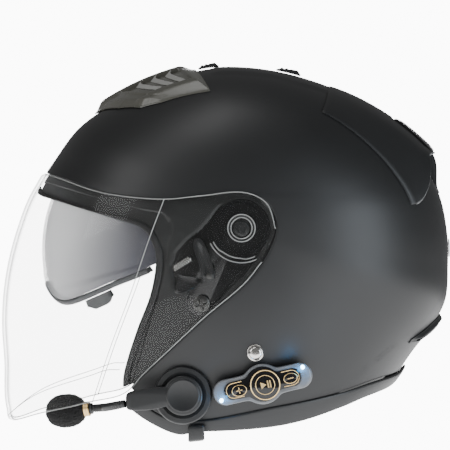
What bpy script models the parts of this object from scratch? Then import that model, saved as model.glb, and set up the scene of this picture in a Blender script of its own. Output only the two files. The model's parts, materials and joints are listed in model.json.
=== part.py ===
"""Open face motorcycle helmet with a clear shield, a drop-down sun lens and an intercom.

Axes: front is -Y, up is +Z and the wearer's left is +X. The origin is the midpoint of the
shield's pivot axis, and the helmet is in the attitude that it is worn in. Metres; lengths
are written in millimetres and turned into metres where the meshes are made.
"""

import bmesh
import bpy
import numpy as np
from mathutils import Matrix, Vector

MM = 0.001

# ---- Driving dimensions, in millimetres and degrees ----
HALF_WIDTH = 122.0          # outer shell, from the middle plane to the ear
POWER = 2.4                 # superellipse power: 2 is round, more is squarer
SHELL_WALL = 4.0
RECESS_SIDE = 4.6           # depth of the shield's seat at the pivots
RECESS_BROW = 2.4           # and over the forehead
SHIELD_WALL = 2.2
SHIELD_GAP = 0.6            # shield's inner face to the shell's widest line
SUN_PIVOT = (-39.2, -14.7)  # Y and Z of the sun lens's own axis
SUN_RADIUS = 100.0
SUN_HALF_WIDTH = 100.0
SUN_POWER = 2.4
SUN_WALL = 2.0
LINER_GAP = 2.2             # foam liner to the shell's inner face
LINER_INNER = 34.0          # foam liner's inner face, below the shell's outer one

# Radius of the outer shell in the middle plane, by angle from the front, upwards.
SHELL_PROFILE = (
    (0, 148.0), (10, 145.6), (20, 138.6), (32, 133.0), (42, 126.0), (60, 117.5),
    (82, 112.9), (95, 111.5), (112, 112.7), (126, 117.0), (144, 124.0), (159, 133.0),
    (170, 140.4), (180, 143.8), (190, 147.0), (200, 151.5), (208, 149.6), (216, 147.6),
    (225, 150.5), (240, 168.0), (270, 205.0), (300, 200.0), (330, 166.0), (345, 153.0),
)
# The same for the clear shield's inner face. Only the front of it is ever seen.
SHIELD_PROFILE = (
    (0, 153.6), (7.5, 147.6), (15.5, 141.2), (30, 140.0), (60, 160.0), (120, 200.0),
    (180, 230.0), (240, 220.0), (290, 214.0), (305, 208.0), (312, 210.0), (321, 206.0),
    (331, 186.4), (337.3, 178.2), (344, 170.2), (352, 161.4),
)
# Outlines on the left side, as (Y, Z): each runs from the front middle to the cheek's
# lower front corner, or from that corner to the rear middle.
RECESS_EDGE = (
    (-134.6, 37.9), (-122.0, 34.0), (-93.8, 24.5), (-56.7, 20.3), (-28.0, 22.4),
    (0.2, 24.9), (17.5, 17.2), (23.7, -0.6), (14.3, -23.3), (0.2, -40.0),
    (-28.0, -63.7), (-65.8, -99.0), (-76.0, -109.5),
)
EYEPORT_EDGE = (
    (-140.7, 25.9), (-133.0, 20.7), (-115.5, 15.0), (-86.8, 6.7), (-70.0, 1.0),
    (-61.5, -10.0), (-58.8, -24.0), (-62.7, -47.4), (-72.0, -72.0), (-81.0, -101.0),
    (-82.0, -112.0),
)
TRIM_SEAM = (
    (-76.0, -109.5), (-57.0, -126.0), (-36.0, -131.0), (20.0, -122.0), (69.3, -112.0),
    (97.0, -103.5), (114.0, -95.0),
)
LOWER_EDGE = (
    (-82.0, -112.0), (-66.0, -127.0), (-42.0, -138.0), (-24.5, -136.0), (16.1, -133.0),
    (69.3, -119.5), (93.8, -110.0), (110.6, -98.7),
)


# ---- Geometry ----
def round_the_clock(knots):
    """Smooth closed curve value(angle in degrees): cubic Hermite pieces through the knots."""
    angle, value = np.array(knots, float).T
    angle = np.concatenate([angle[-2:] - 360, angle, angle[:2] + 360])
    value = np.concatenate([value[-2:], value, value[:2]])
    slope = np.gradient(value, angle)

    def curve(at):
        at = np.mod(at, 360.0)
        i = np.clip(np.searchsorted(angle, at, side="right") - 1, 0, len(angle) - 2)
        span = angle[i + 1] - angle[i]
        t = (at - angle[i]) / span
        return (
            value[i] * (1 + 2 * t) * (1 - t) ** 2
            + value[i + 1] * t * t * (3 - 2 * t)
            + span * slope[i] * t * (1 - t) ** 2
            - span * slope[i + 1] * t * t * (1 - t)
        )

    return curve


shell_radius = round_the_clock(SHELL_PROFILE)
shield_radius = round_the_clock(SHIELD_PROFILE)


def clock_angle(y, z):
    return np.degrees(np.arctan2(z, -y))


def reach(direction, radius, half_width):
    """Distance along unit directions to the surface (|x|/w)^n + (r/R)^n = 1."""
    x, y, z = np.moveaxis(direction, -1, 0)
    around = np.hypot(y, z) / radius(clock_angle(y, z))
    return ((np.abs(x) / half_width) ** POWER + around**POWER) ** (-1 / POWER)


def unit(vectors):
    return vectors / np.linalg.norm(vectors, axis=-1, keepdims=True)


def side_x(y, z, radius=shell_radius, half_width=HALF_WIDTH):
    """Half-width of the surface at a place seen from the side."""
    k = np.hypot(y, z) / radius(clock_angle(y, z))
    return half_width * np.maximum(1 - k**POWER, 0) ** (1 / POWER)


def on_shell(direction, offset=0.0):
    return direction * (reach(direction, shell_radius, HALF_WIDTH) + offset)[..., None]


def top_point(x, angle, height):
    """Place over the crown, by distance from the middle plane and clock angle."""
    r = shell_radius(angle) * np.maximum(1 - (np.abs(x) / HALF_WIDTH) ** POWER, 0) ** (1 / POWER)
    turn = np.radians(angle)
    tall = r + height
    return np.stack([x + 0 * tall, -tall * np.cos(turn), tall * np.sin(turn)], -1)


def spline(points, count):
    """count places, evenly spread, on a Catmull-Rom curve through 3-D points."""
    points = np.array(points, float)
    ends = np.concatenate([[2 * points[0] - points[1]], points, [2 * points[-1] - points[-2]]])
    t = np.linspace(0, 1, 12, endpoint=False)[:, None]
    pieces = [
        0.5 * (2 * b + (c - a) * t + (2 * a - 5 * b + 4 * c - d) * t**2 + (3 * b - a - 3 * c + d) * t**3)
        for a, b, c, d in zip(ends, ends[1:], ends[2:], ends[3:])
    ]
    dense = np.concatenate(pieces + [points[-1:]])
    walked = np.concatenate([[0], np.cumsum(np.linalg.norm(np.diff(dense, axis=0), axis=1))])
    at = np.linspace(0, walked[-1], count)
    return np.stack([np.interp(at, walked, dense[:, k]) for k in range(3)], 1)


def edge_points(outline, count, middle_first=False, middle_last=False,
                radius=shell_radius, half_width=HALF_WIDTH):
    """An outline seen from the side, put on the surface: its end may lie in the middle plane."""
    y, z = np.array(outline, float).T
    x = side_x(y, z, radius, half_width)
    if middle_first:
        x[0] = 0
    if middle_last:
        x[-1] = 0
    return spline(np.stack([x, y, z], 1), count)


def all_round(front_half, rear_half):
    """The left side's two stretches made one closed loop over both sides."""
    left = np.concatenate([front_half, rear_half[1:]])
    right = left[-2:0:-1] * (-1, 1, 1)
    return np.concatenate([left, right])


def mesh_object(name, points, faces, material):
    """A closed mesh, in millimetres, made a named object in metres with its normals outwards."""
    mesh = bpy.data.meshes.new(name)
    mesh.from_pydata((np.asarray(points, float) * MM).tolist(), [], faces)
    shape = bmesh.new()
    shape.from_mesh(mesh)
    bmesh.ops.remove_doubles(shape, verts=shape.verts, dist=1e-6)
    bmesh.ops.dissolve_degenerate(shape, dist=1e-7, edges=shape.edges)
    bmesh.ops.recalc_face_normals(shape, faces=shape.faces)
    bmesh.ops.triangulate(shape, faces=shape.faces)
    shape.to_mesh(mesh)
    shape.free()
    mesh.shade_smooth()
    mesh.set_sharp_from_angle(angle=np.radians(38))
    mesh.materials.append(material)
    thing = bpy.data.objects.new(name, mesh)
    bpy.context.scene.collection.objects.link(thing)
    return thing


def sheet_solid(name, outer, inner, material, wrap=False, keep=None):
    """Two matching grids of points joined into one solid; cells where keep is false are open."""
    across, along = outer.shape[:2]
    cells = across if wrap else across - 1
    if keep is None:
        keep = np.ones((cells, along - 1), bool)
    number = np.arange(across * along).reshape(across, along)
    back = number + across * along
    nxt = (np.arange(cells) + 1) % across
    faces = []
    for i, j in zip(*np.nonzero(keep)):
        a, b, c, d = number[i, j], number[nxt[i], j], number[nxt[i], j + 1], number[i, j + 1]
        e, f, g, h = back[i, j], back[nxt[i], j], back[nxt[i], j + 1], back[i, j + 1]
        faces += [(a, b, c, d), (h, g, f, e)]
        before = keep[(i - 1) % cells, j] if wrap or i > 0 else False
        after = keep[(i + 1) % cells, j] if wrap or i < cells - 1 else False
        if not before:
            faces.append((a, d, h, e))
        if not after:
            faces.append((b, f, g, c))
        if j == 0 or not keep[i, j - 1]:
            faces.append((a, e, f, b))
        if j == along - 2 or not keep[i, j + 1]:
            faces.append((d, c, g, h))
    return mesh_object(name, np.concatenate([outer.reshape(-1, 3), inner.reshape(-1, 3)]), faces, material)


def loft(name, rings, material, closed=False):
    """Rings of points joined in turn into one solid, with its two ends capped."""
    rings = np.array(rings, float)
    count, sides = rings.shape[:2]
    number = np.arange(count * sides).reshape(count, sides)
    faces = []
    for i in range(count if closed else count - 1):
        for j in range(sides):
            k = (j + 1) % sides
            n = (i + 1) % count
            faces.append((number[i, j], number[i, k], number[n, k], number[n, j]))
    if not closed:
        faces += [tuple(number[0][::-1]), tuple(number[-1])]
    return mesh_object(name, rings.reshape(-1, 3), faces, material)


def disc_outline(radius, sides=20, stretch=1.0):
    turn = np.linspace(0, 2 * np.pi, sides, endpoint=False)
    return np.stack([radius * stretch * np.cos(turn), radius * np.sin(turn)], 1)


def relief(name, centre, outline, profile, place, material):
    """A raised piece: rings of the outline, each at a scale and height, put on a surface."""
    rings = []
    for scale, height in profile:
        if scale == 0:
            continue
        flat = np.asarray(centre) + scale * outline
        rings.append(place(flat[:, 0], flat[:, 1], height))
    return loft(name, rings, material)


def beside(side, radius=shell_radius, half_width=HALF_WIDTH):
    """Puts (Y, Z) and a height on the shell's side: side is 1 for the left, -1 for the right."""
    return lambda y, z, height: np.stack(
        [side * (side_x(y, z, radius, half_width) + height), y, z], -1
    )


def over(x, angle, height):
    return top_point(x, angle, height)


def level(side, x):
    """A flat plane across the axle: places (Y, Z) at a fixed X plus the height."""
    return lambda y, z, height: np.stack([side * (x + height) + 0 * y, y, z], -1)


def tube(name, path, radius, material, sides=10):
    """A round bar along a path, its section turned the least from point to point."""
    path = np.array(path, float)
    ahead = unit(np.gradient(path, axis=0))
    normal = unit(np.cross(ahead[0], (0.31, 0.2, 0.93)))
    radii = np.broadcast_to(radius, len(path))
    rings = []
    turn = np.linspace(0, 2 * np.pi, sides, endpoint=False)[:, None]
    for point, tangent, size in zip(path, ahead, radii):
        normal = unit(normal - tangent * (normal @ tangent))
        other = np.cross(tangent, normal)
        rings.append(point + size * (np.cos(turn) * normal + np.sin(turn) * other))
    return loft(name, rings, material)


# ---- Materials ----
def finish(name, colour, roughness, metallic=0.0, alpha=1.0):
    material = bpy.data.materials.new(name)
    material.use_nodes = True
    shader = material.node_tree.nodes["Principled BSDF"]
    shader.inputs["Base Color"].default_value = (*colour, 1)
    shader.inputs["Roughness"].default_value = roughness
    shader.inputs["Metallic"].default_value = metallic
    shader.inputs["Alpha"].default_value = alpha
    return material


# ---- Outer shell and what lines it ----
FRONT_COLUMNS, REAR_COLUMNS = 23, 12
SEAM_ROWS, BAND_ROWS = 10, 3
REAR_POLE = np.array((0.0, 1.0, 0.0))


def swing(start, end, share):
    """Unit directions part of the way along the great circle from start to end."""
    angle = np.arccos(np.clip((start * end).sum(-1, keepdims=True), -1, 1))
    return (np.sin((1 - share) * angle) * start + np.sin(share * angle) * end) / np.sin(angle)


def smooth(low, high, value):
    t = np.clip((value - low) / (high - low), 0, 1)
    return t * t * (3 - 2 * t)


def recess_depth(direction):
    side = np.abs(on_shell(direction)[..., 0]) / HALF_WIDTH
    return RECESS_BROW + (RECESS_SIDE - RECESS_BROW) * smooth(0.45, 0.85, side)


def seam_and_edge():
    """Directions to the shield recess and trim seam, and to the shell's free edge."""
    seam = all_round(
        edge_points(RECESS_EDGE, FRONT_COLUMNS + 1, middle_first=True),
        edge_points(TRIM_SEAM, REAR_COLUMNS + 1, middle_last=True),
    )
    edge = all_round(
        edge_points(EYEPORT_EDGE, FRONT_COLUMNS + 1, middle_first=True),
        edge_points(LOWER_EDGE, REAR_COLUMNS + 1, middle_last=True),
    )
    return unit(seam), unit(edge)


def outer_shell(material):
    seam, edge = seam_and_edge()
    count = len(seam)
    place = np.arange(count)
    beside_face = np.minimum(place, count - place) <= FRONT_COLUMNS
    depth = np.where(beside_face, recess_depth(seam), 0.0)
    outer, inner = [], []
    for share in np.linspace(0, 1, SEAM_ROWS + 1):
        direction = swing(REAR_POLE, seam, share)
        outer.append(on_shell(direction))
        drop = SHELL_WALL + depth * (share > 0.95)
        inner.append(on_shell(direction, -drop))
    for share in np.linspace(0, 1, BAND_ROWS + 1):
        direction = unit(seam + share * (edge - seam))
        under = unit(seam + max(share, 0.1) * (edge - seam))
        outer.append(on_shell(direction, -depth))
        inner.append(on_shell(under, -depth - SHELL_WALL))
    sheet_solid("outer_shell", np.stack(outer, 1), np.stack(inner, 1), material, wrap=True)


def sun_reach(direction, radius):
    """Distance along unit directions to the sun lens's surface of revolution, by halving."""
    near = np.zeros(direction.shape[:-1])
    far = np.full(direction.shape[:-1], 300.0)
    half_width = SUN_HALF_WIDTH - SUN_RADIUS + radius
    for _ in range(40):
        middle = (near + far) / 2
        x, y, z = np.moveaxis(direction * middle[..., None], -1, 0)
        from_axis = np.hypot(y - SUN_PIVOT[0], z - SUN_PIVOT[1])
        inside = (np.abs(x) / half_width) ** SUN_POWER + (from_axis / radius) ** SUN_POWER < 1
        near, far = np.where(inside, middle, near), np.where(inside, far, middle)
    return near


LINER_FRONT = (
    (-137.0, 33.5), (-126.0, 28.0), (-110.0, 22.5), (-84.0, 14.0), (-60.0, 6.0),
    (-50.0, -8.0), (-46.0, -26.0), (-40.0, -50.0),
)
LINER_REAR = ((-40.0, -50.0), (0.0, -58.0), (50.0, -58.0), (95.0, -62.0), (142.0, -52.0))
POCKET_FROM, POCKET_TO = -34.0, 98.0   # the sun lens's sweep, as angles about its own axis
POCKET_GAP = 2.0
POCKET_EAR = 32.0                      # the pocket also clears this radius about the axis


def eps_liner(material):
    rim = unit(all_round(
        edge_points(LINER_FRONT, FRONT_COLUMNS - 5, middle_first=True),
        edge_points(LINER_REAR, REAR_COLUMNS - 1, middle_last=True),
    ))
    rim = np.stack([swing(REAR_POLE, rim, share) for share in np.linspace(0, 1, 11)], 1)
    skin = on_shell(rim)
    drop = SHELL_WALL + LINER_GAP + (RECESS_SIDE - 0.2) * smooth(52.0, 22.0, skin[..., 1])
    outer = reach(rim, shell_radius, HALF_WIDTH) - drop
    lens = sun_reach(rim, SUN_RADIUS - SUN_WALL) - POCKET_GAP
    at = rim * lens[..., None]
    turned = np.degrees(np.arctan2(at[..., 2] - SUN_PIVOT[1], SUN_PIVOT[0] - at[..., 1]))
    from_axis = np.hypot(at[..., 1] - SUN_PIVOT[0], at[..., 2] - SUN_PIVOT[1])
    swept = ((turned > POCKET_FROM) & (turned < POCKET_TO)) | (from_axis < POCKET_EAR)
    outer = np.where(swept, np.minimum(outer, lens), outer)
    inner = np.minimum(reach(rim, shell_radius, HALF_WIDTH) - LINER_INNER, outer - 7)
    sheet_solid("eps_liner", rim * outer[..., None], rim * inner[..., None], material, wrap=True)


def crown_pad(material):
    """Fabric cap that the top of the head rests in, as a thick sheet under the liner."""
    x = np.linspace(-60, 60, 11)[:, None]
    angle = np.linspace(92, 152, 8)[None, :]
    edge = np.maximum(np.abs(x) / 60, np.abs(angle - 122) / 30)
    swell = 7 * (1 - edge**6)
    way = unit(top_point(x, angle, 0.0))
    top, foot = on_shell(way, -LINER_INNER - 2.6), on_shell(way, -LINER_INNER - 4.6 - swell)
    sheet_solid("crown_pad", top, foot, material)


CHEEK_OUTLINE = np.array((
    (-64.0, -62.0), (-57.0, -50.0), (-38.0, -57.0), (-12.0, -64.0), (4.0, -68.0), (8.0, -80.0),
    (4.0, -100.0), (-10.0, -114.0), (-36.0, -121.0), (-58.0, -114.0), (-68.0, -96.0), (-68.0, -78.0),
))


def cheek_pad(side, name, material):
    centre = CHEEK_OUTLINE.mean(0)
    profile = ((0.0, -10.5), (0.55, -10.5), (0.94, -11.5), (1.0, -18.0), (0.97, -27.0),
               (0.8, -33.0), (0.5, -35.0), (0.0, -36.0))
    relief(name, centre, CHEEK_OUTLINE - centre, profile, beside(side), material)


def neck_roll(material):
    half = edge_points(((14.0, -112.0), (45.0, -107.0), (72.0, -99.0), (92.0, -92.0), (108.0, -80.0)),
                       12, middle_last=True)
    path = np.concatenate([half, half[-2::-1] * (-1, 1, 1)])
    path = on_shell(unit(path), -SHELL_WALL - 13.5)
    ends = np.abs(np.linspace(-1, 1, len(path)))
    tube("neck_roll", path, 10.5 * (1 - 0.45 * ends**8), material, sides=12)


TRIM_OVERHANG = 3.2


def edge_band(name, first, last, sections, material, loop=False):
    """A trim strip along the shell's edge, from column first to last. A section is a closed
    list of (share from seam to edge, height over the shell)."""
    seam, edge = seam_and_edge()
    count = len(seam)
    columns = np.arange(first, last + 1) % count
    rings = []
    for seam_way, edge_way, column in zip(seam[columns], edge[columns], columns):
        beside_face = min(column, count - column) <= FRONT_COLUMNS
        depth = recess_depth(seam_way) if beside_face else 0.0
        ring = []
        for share, height in sections:
            gap = np.degrees(np.arccos(np.clip(seam_way @ edge_way, -1, 1)))
            per_mm = 1 / max(gap * 2.4, 8.0)
            way = unit(seam_way + (1 + share * per_mm) * (edge_way - seam_way))
            ring.append(on_shell(way[None], height - depth)[0])
        rings.append(ring)
    loft(name, rings, material, closed=loop)


def eyeport_trim(material):
    """Soft lip round the face opening: a U over the shell's edge, in millimetres along and out."""
    sections = ((-4.5, 0.4), (-4.5, 1.2), (1.0, 1.3), (2.2, -1.6), (1.0, -5.6), (-3.0, -5.4),
                (-3.0, -4.5), (0.4, -4.5), (0.4, 0.4))
    edge_band("eyeport_trim", -FRONT_COLUMNS + 1, FRONT_COLUMNS - 1, sections, material)


def lower_edge_trim(material):
    """Painted moulding round the neck opening, from the seam down under the shell's edge."""
    seam, edge = seam_and_edge()
    count = len(seam)
    rings = []
    for column in range(FRONT_COLUMNS + 1, count - FRONT_COLUMNS):
        across = edge[column] - seam[column]
        gap = np.linalg.norm(on_shell(edge[column][None]) - on_shell(seam[column][None]))
        stop = 1 + TRIM_OVERHANG / gap
        section = ((0.0, 0.4), (0.0, 1.8), (0.5, 2.4), (stop, 2.0), (stop + 0.12, -1.5),
                   (stop, -6.5), (stop - 0.16, -5.0), (stop - 0.18, 0.6))
        rings.append([
            on_shell(unit(seam[column] + share * across)[None], height)[0]
            for share, height in section
        ])
    loft("lower_edge_trim", rings, material)


# ---- Shield, sun lens and the ratchet at each pivot ----
SHIELD_TOP = (
    (-138.0, 38.2), (-125.0, 34.2), (-93.8, 23.8), (-56.7, 19.6), (-28.0, 21.7),
    (0.2, 24.2), (17.0, 16.6), (23.0, -0.6),
)
SHIELD_FOOT = (
    (-161.4, -131.5), (-142.1, -128.1), (-108.5, -119.7), (-80.5, -112.7), (-64.0, -96.5),
    (-28.0, -62.8), (0.2, -39.0), (13.6, -22.9), (23.0, -0.6),
)
SHIELD_COLUMNS, SHIELD_ROWS = 15, 8


def visor(material):
    inner_half = HALF_WIDTH + SHIELD_GAP
    top, foot = (
        edge_points(line, SHIELD_COLUMNS + 1, middle_first=True,
                    radius=shield_radius, half_width=inner_half)
        for line in (SHIELD_TOP, SHIELD_FOOT)
    )
    top, foot = (
        unit(np.concatenate([line[::-1], line[1:] * (-1, 1, 1)])) for line in (top, foot)
    )
    share = np.linspace(0, 1, SHIELD_ROWS + 1)[None, :, None]
    way = unit(top[:, None] * (1 - share) + foot[:, None] * share)
    inner = reach(way, shield_radius, inner_half)
    sheet_solid("visor", way * (inner + SHIELD_WALL)[..., None], way * inner[..., None], material)


def sun_surface(slant, angle, radius):
    """Point of the sun lens by slant, 0 in the middle and 90 at the axis, and angle about it."""
    slant = np.radians(slant)
    from_axis = radius * np.cos(slant) ** (2 / SUN_POWER)
    x = (SUN_HALF_WIDTH - SUN_RADIUS + radius) * np.sign(slant) * np.abs(np.sin(slant)) ** (2 / SUN_POWER)
    turn = np.radians(angle)
    return np.stack([
        x + 0 * from_axis * turn,
        SUN_PIVOT[0] - from_axis * np.cos(turn),
        SUN_PIVOT[1] + from_axis * np.sin(turn),
    ], -1)


SUN_TOP, SUN_FOOT, NOSE_ARCH = 28.0, -20.5, 11.0
SUN_SLANTS = np.concatenate([-np.array((88.0, 84.0, 78.0)), np.linspace(-70, 70, 19), (78.0, 84.0, 88.0)])


def sun_foot(slant):
    """Angle of the lens's lower edge: level with an arch over the nose."""
    return SUN_FOOT + NOSE_ARCH * np.exp(-((slant / 19.0) ** 2)) - 3.0 * smooth(60, 88, np.abs(slant))


def sun_visor(glass, rim_material, boss_material):
    slant = SUN_SLANTS[:, None]
    share = np.linspace(0, 1, 6)[None, :]
    angle = SUN_TOP * (1 - share) + sun_foot(slant) * share
    sheet_solid("sun_visor_lens", sun_surface(slant, angle, SUN_RADIUS),
                sun_surface(slant, angle, SUN_RADIUS - SUN_WALL), glass)
    slant = np.linspace(-77, 77, 23)
    from_axis = SUN_RADIUS * np.cos(np.radians(slant)) ** (2 / SUN_POWER)
    def down(mm):
        return np.degrees(mm / from_axis)
    rings = [
        sun_surface(slant, sun_foot(slant) - down(drop), SUN_RADIUS + out)
        for drop, out in ((0.3, 0.4), (2.6, 0.9), (4.3, 0.4), (4.3, -3.4), (0.3, -2.2))
    ]
    loft("sun_visor_rim", np.stack(rings, 1), rim_material)
    for side, name in ((1, "left"), (-1, "right")):
        relief(f"sun_visor_pivot_{name}", SUN_PIVOT, disc_outline(5.5, 16),
               ((0.0, 0.3), (1.0, 0.3), (1.0, 2.2), (0.8, 2.8), (0.0, 2.8)),
               level(side, SUN_HALF_WIDTH), boss_material)


def finger_tab(material):
    """The little handle under the left half of the sun lens."""
    slant = np.array((43.5, 48.0, 54.0, 58.5))
    from_axis = SUN_RADIUS * np.cos(np.radians(slant)) ** (2 / SUN_POWER)
    drops = np.array((5.0, 8.6, 8.6, 5.0))
    start = np.degrees(4.7 / from_axis)
    stop = start + np.degrees(drops / from_axis)
    grid = []
    for out in (1.2, -1.8):
        share = np.linspace(0, 1, 3)[None, :]
        angle = sun_foot(slant[:, None]) - (start[:, None] * (1 - share) + stop[:, None] * share)
        grid.append(sun_surface(slant[:, None], angle, SUN_RADIUS + out))
    sheet_solid("sun_visor_tab", grid[0], grid[1], material)


PLATE_SCREW = (-27.3, -51.8)
LEVER_PIVOT = (-21.9, -32.7)
PLATE_FOOT = np.array((
    (-23.0, -20.0), (-36.0, -45.0), (-35.0, -55.5), (-29.0, -59.0), (-23.0, -55.5), (-5.0, -35.0),
))
LEVER_OUTLINE = np.array((
    (-26.0, -33.0), (-32.5, -12.0), (-30.5, -6.5), (-26.5, -9.0), (-18.5, -31.0), (-20.0, -36.0),
    (-24.5, -36.5),
))


def ratchet(side, name, plastic, steel):
    place = beside(side)
    turn = np.radians(np.linspace(-60, 200, 16))
    rim = np.stack([19.0 * np.cos(turn), 19.0 * np.sin(turn)], 1)
    outline = np.concatenate([rim, PLATE_FOOT])
    relief(f"ratchet_plate_{name}", (0, 0), outline,
           ((0.0, -3.8), (0.5, -3.8), (1.0, -3.8), (1.0, -2.8), (0.5, -2.8), (0.0, -2.8)), place, plastic)
    relief(f"pivot_hub_{name}", (0, 0), disc_outline(9.7, 20),
           ((0.0, -2.5), (1.0, -2.5), (1.0, 0.3), (0.76, 0.3), (0.76, -0.7), (0.0, -0.7)), place, steel)
    relief(f"plate_screw_{name}", PLATE_SCREW, disc_outline(5.7, 14),
           ((0.0, -2.5), (1.0, -2.5), (0.95, -1.2), (0.6, -0.7), (0.0, -0.7)), place, steel)
    relief(f"release_lever_{name}", LEVER_PIVOT, LEVER_OUTLINE - LEVER_PIVOT,
           ((0.0, -2.5), (1.0, -2.5), (1.0, -0.9), (0.0, -0.9)), place, plastic)


def lever_spring(side, name, material):
    """Coil spring between the lever and the plate's edge, its wire a helix."""
    start, end = np.array((-46.0, -27.6)), np.array((-35.0, -20.9))
    turns, radius = 7, 0.85
    t = np.linspace(0, 1, turns * 7 + 1)
    along = (end - start) / np.linalg.norm(end - start)
    across = np.array((-along[1], along[0]))
    ring = 2 * np.pi * turns * t
    flat = start + t[:, None] * (end - start) + radius * np.cos(ring)[:, None] * across
    height = -1.6 + radius * np.sin(ring)
    path = beside(side)(flat[:, 0], flat[:, 1], height)
    tube(f"lever_spring_{name}", path, 0.32, material, sides=5)


# ---- Vents and spoiler ----
VENT_HALF = 77.0
VENT_FRONT = ((0, 38.0), (20, 39.6), (51, 44.2), (69, 50.0), (74, 57.0), (77, 74.0))
VENT_WINDOW = (13.0, 61.0)      # from the middle rib to the side rib
DECK_HALF = 80.0


def front_vent(cover_material, slider_material):
    share = np.linspace(-1, 1, 21)
    x = VENT_HALF * np.sign(share) * np.abs(share) ** 0.9
    front = np.interp(np.abs(x), *np.array(VENT_FRONT).T)[:, None]
    rear = 73.6 + 3.6 * (x[:, None] / VENT_HALF) ** 2
    along = np.linspace(0, 1, 9)[None, :]
    angle = front * (1 - along) + rear * along
    x = x[:, None] + 0 * angle
    edge = np.minimum(np.minimum(along, 1 - along) * 5, (1 - np.abs(x) / VENT_HALF) * 7)
    spine = smooth(17.0, 5.0, np.abs(x))
    height = 1.4 + (3.0 + 1.8 * spine) * smooth(0, 1, edge)
    border = smooth(0.0, 0.5, edge)
    middle = (np.abs(x[:-1, :-1] + x[1:, 1:]) / 2, (along[0, :-1] + along[0, 1:]) / 2)
    window = (middle[0] > VENT_WINDOW[0]) & (middle[0] < VENT_WINDOW[1])
    window = window & (middle[1] > 0.33)[None] & (middle[1] < 0.84)[None]
    sheet_solid("front_vent_cover", over(x, angle, height), over(x, angle, 0.4 + 2.2 * border),
                cover_material, keep=~window)
    x, angle = np.meshgrid(np.linspace(-58, 58, 11), np.linspace(51.5, 69.5, 6), indexing="ij")
    sheet_solid("front_vent_slider", over(x, angle, 1.9), over(x, angle, 0.7), slider_material)


def crest_tab(name, first, last, material):
    """Thumb slider on the crown: its ends at two clock angles, with a raised lip behind."""
    x, share = np.meshgrid(np.linspace(-13, 13, 7), np.linspace(0, 1, 7), indexing="ij")
    angle = first + (last - first) * share
    edge = np.minimum(1 - np.abs(x) / 13.5, 1 - np.abs(2 * share - 1))
    height = 1.7 + 2.4 * smooth(0, 0.5, edge) * (0.45 + 0.55 * share)
    sheet_solid(name, over(x, angle, height), over(x, angle, 0.9), material)


def deck_place(x, share):
    """Clock angle and height of the spoiler's top, by X and share from front to rear."""
    wide = np.abs(x) / DECK_HALF
    front = 121.5 + 3.2 * wide**2
    rear = 158.7 + 13.5 * smooth(0.55, 1.0, wide)
    angle = front + (rear - front) * share
    flank = 1 - smooth(0.62, 1.0, wide)
    height = 1.6 + (8.4 * share**1.3 + 1.0 * share) * flank + 1.4 * share
    return angle, height


INSERT_HALF, INSERT_FROM, INSERT_TO = 34.0, 0.62, 0.985


def rear_spoiler(material, insert_material):
    x = DECK_HALF * np.linspace(-1, 1, 19)[:, None]
    share = np.linspace(0, 1, 10)[None, :]
    angle, height = deck_place(x, share)
    x = x + 0 * angle
    border = smooth(0, 0.25, np.minimum(share * 1.6, (1 - np.abs(x) / DECK_HALF) * 1.6))
    under = 0.4 + np.maximum(height - 2.6, 0.0) * border
    sheet_solid("rear_spoiler", over(x, angle, height), over(x, angle, under), material)
    share = np.linspace(INSERT_FROM, INSERT_TO, 6)[None, :]
    widening = 0.8 + 0.2 * (share - INSERT_FROM) / (INSERT_TO - INSERT_FROM)
    x = INSERT_HALF * np.linspace(-1, 1, 9)[:, None] * widening
    angle, height = deck_place(x, share)
    top, foot = over(x, angle, height + 1.4), over(x, angle, height + 0.5)
    sheet_solid("spoiler_insert", top, foot, insert_material)


OUTLET_HALF, OUTLET_ANGLE, OUTLET_BOW = 50.0, 204.8, 9.0


def neck_exhaust(material):
    """Slotted outlet low on the back: a bowed strip with a lip above its slot."""
    wide = np.linspace(-1, 1, 17)[:, None]
    share = np.linspace(0, 1, 5)[None, :]
    middle = OUTLET_ANGLE + OUTLET_BOW * wide**2
    half = 1.5 * (1 - 0.5 * np.abs(wide) ** 4)
    angle = middle + half * (2 * share - 1)
    lip = smooth(0.0, 0.4, share) * smooth(1.0, 0.55, share) * smooth(1.0, 0.85, np.abs(wide))
    x = OUTLET_HALF * wide + 0 * angle
    sheet_solid("neck_exhaust_vent", over(x, angle, 0.9 + 2.4 * lip), over(x, angle, 0.4), material)


REFLECTOR_ANGLE = 185.4


def rear_reflector(material):
    outline = disc_outline(4.3, 16, stretch=0.58)[:, ::-1] * (5.6 / 4.3, 1)
    profile = ((0.0, 0.4), (1.0, 0.4), (1.0, 0.9), (0.9, 1.2), (0.0, 1.3))
    relief("rear_reflector", (0.0, REFLECTOR_ANGLE), outline, profile, over, material)


def standing_on(side, middle, outline, steps, name, material):
    """A piece whose foot follows the shell and whose other rings lie in planes across the
    axle. A step is (scale, height, whether it follows the shell)."""
    follow = beside(side)
    flat = level(side, float(side_x(np.array(middle[0]), np.array(middle[1]))))
    rings = []
    for scale, height, follows in steps:
        y, z = (np.asarray(middle) + scale * outline).T
        rings.append((follow if follows else flat)(y, z, height))
    loft(name, rings, material)
    return flat


STUD_AT, STUD_RADIUS = (9.5, -85.2), 5.7


def snap_stud(side, name, material):
    """Press-stud post for a peak: its foot follows the shell, and its head is flat across."""
    steps = ((1.0, 0.4, True), (1.0, 1.2, False), (0.72, 1.6, False), (0.62, 3.4, False),
             (0.72, 4.2, False), (0.66, 5.2, False), (0.45, 5.9, False))
    standing_on(side, STUD_AT, disc_outline(STUD_RADIUS, 18), steps, f"snap_stud_{name}", material)


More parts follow.
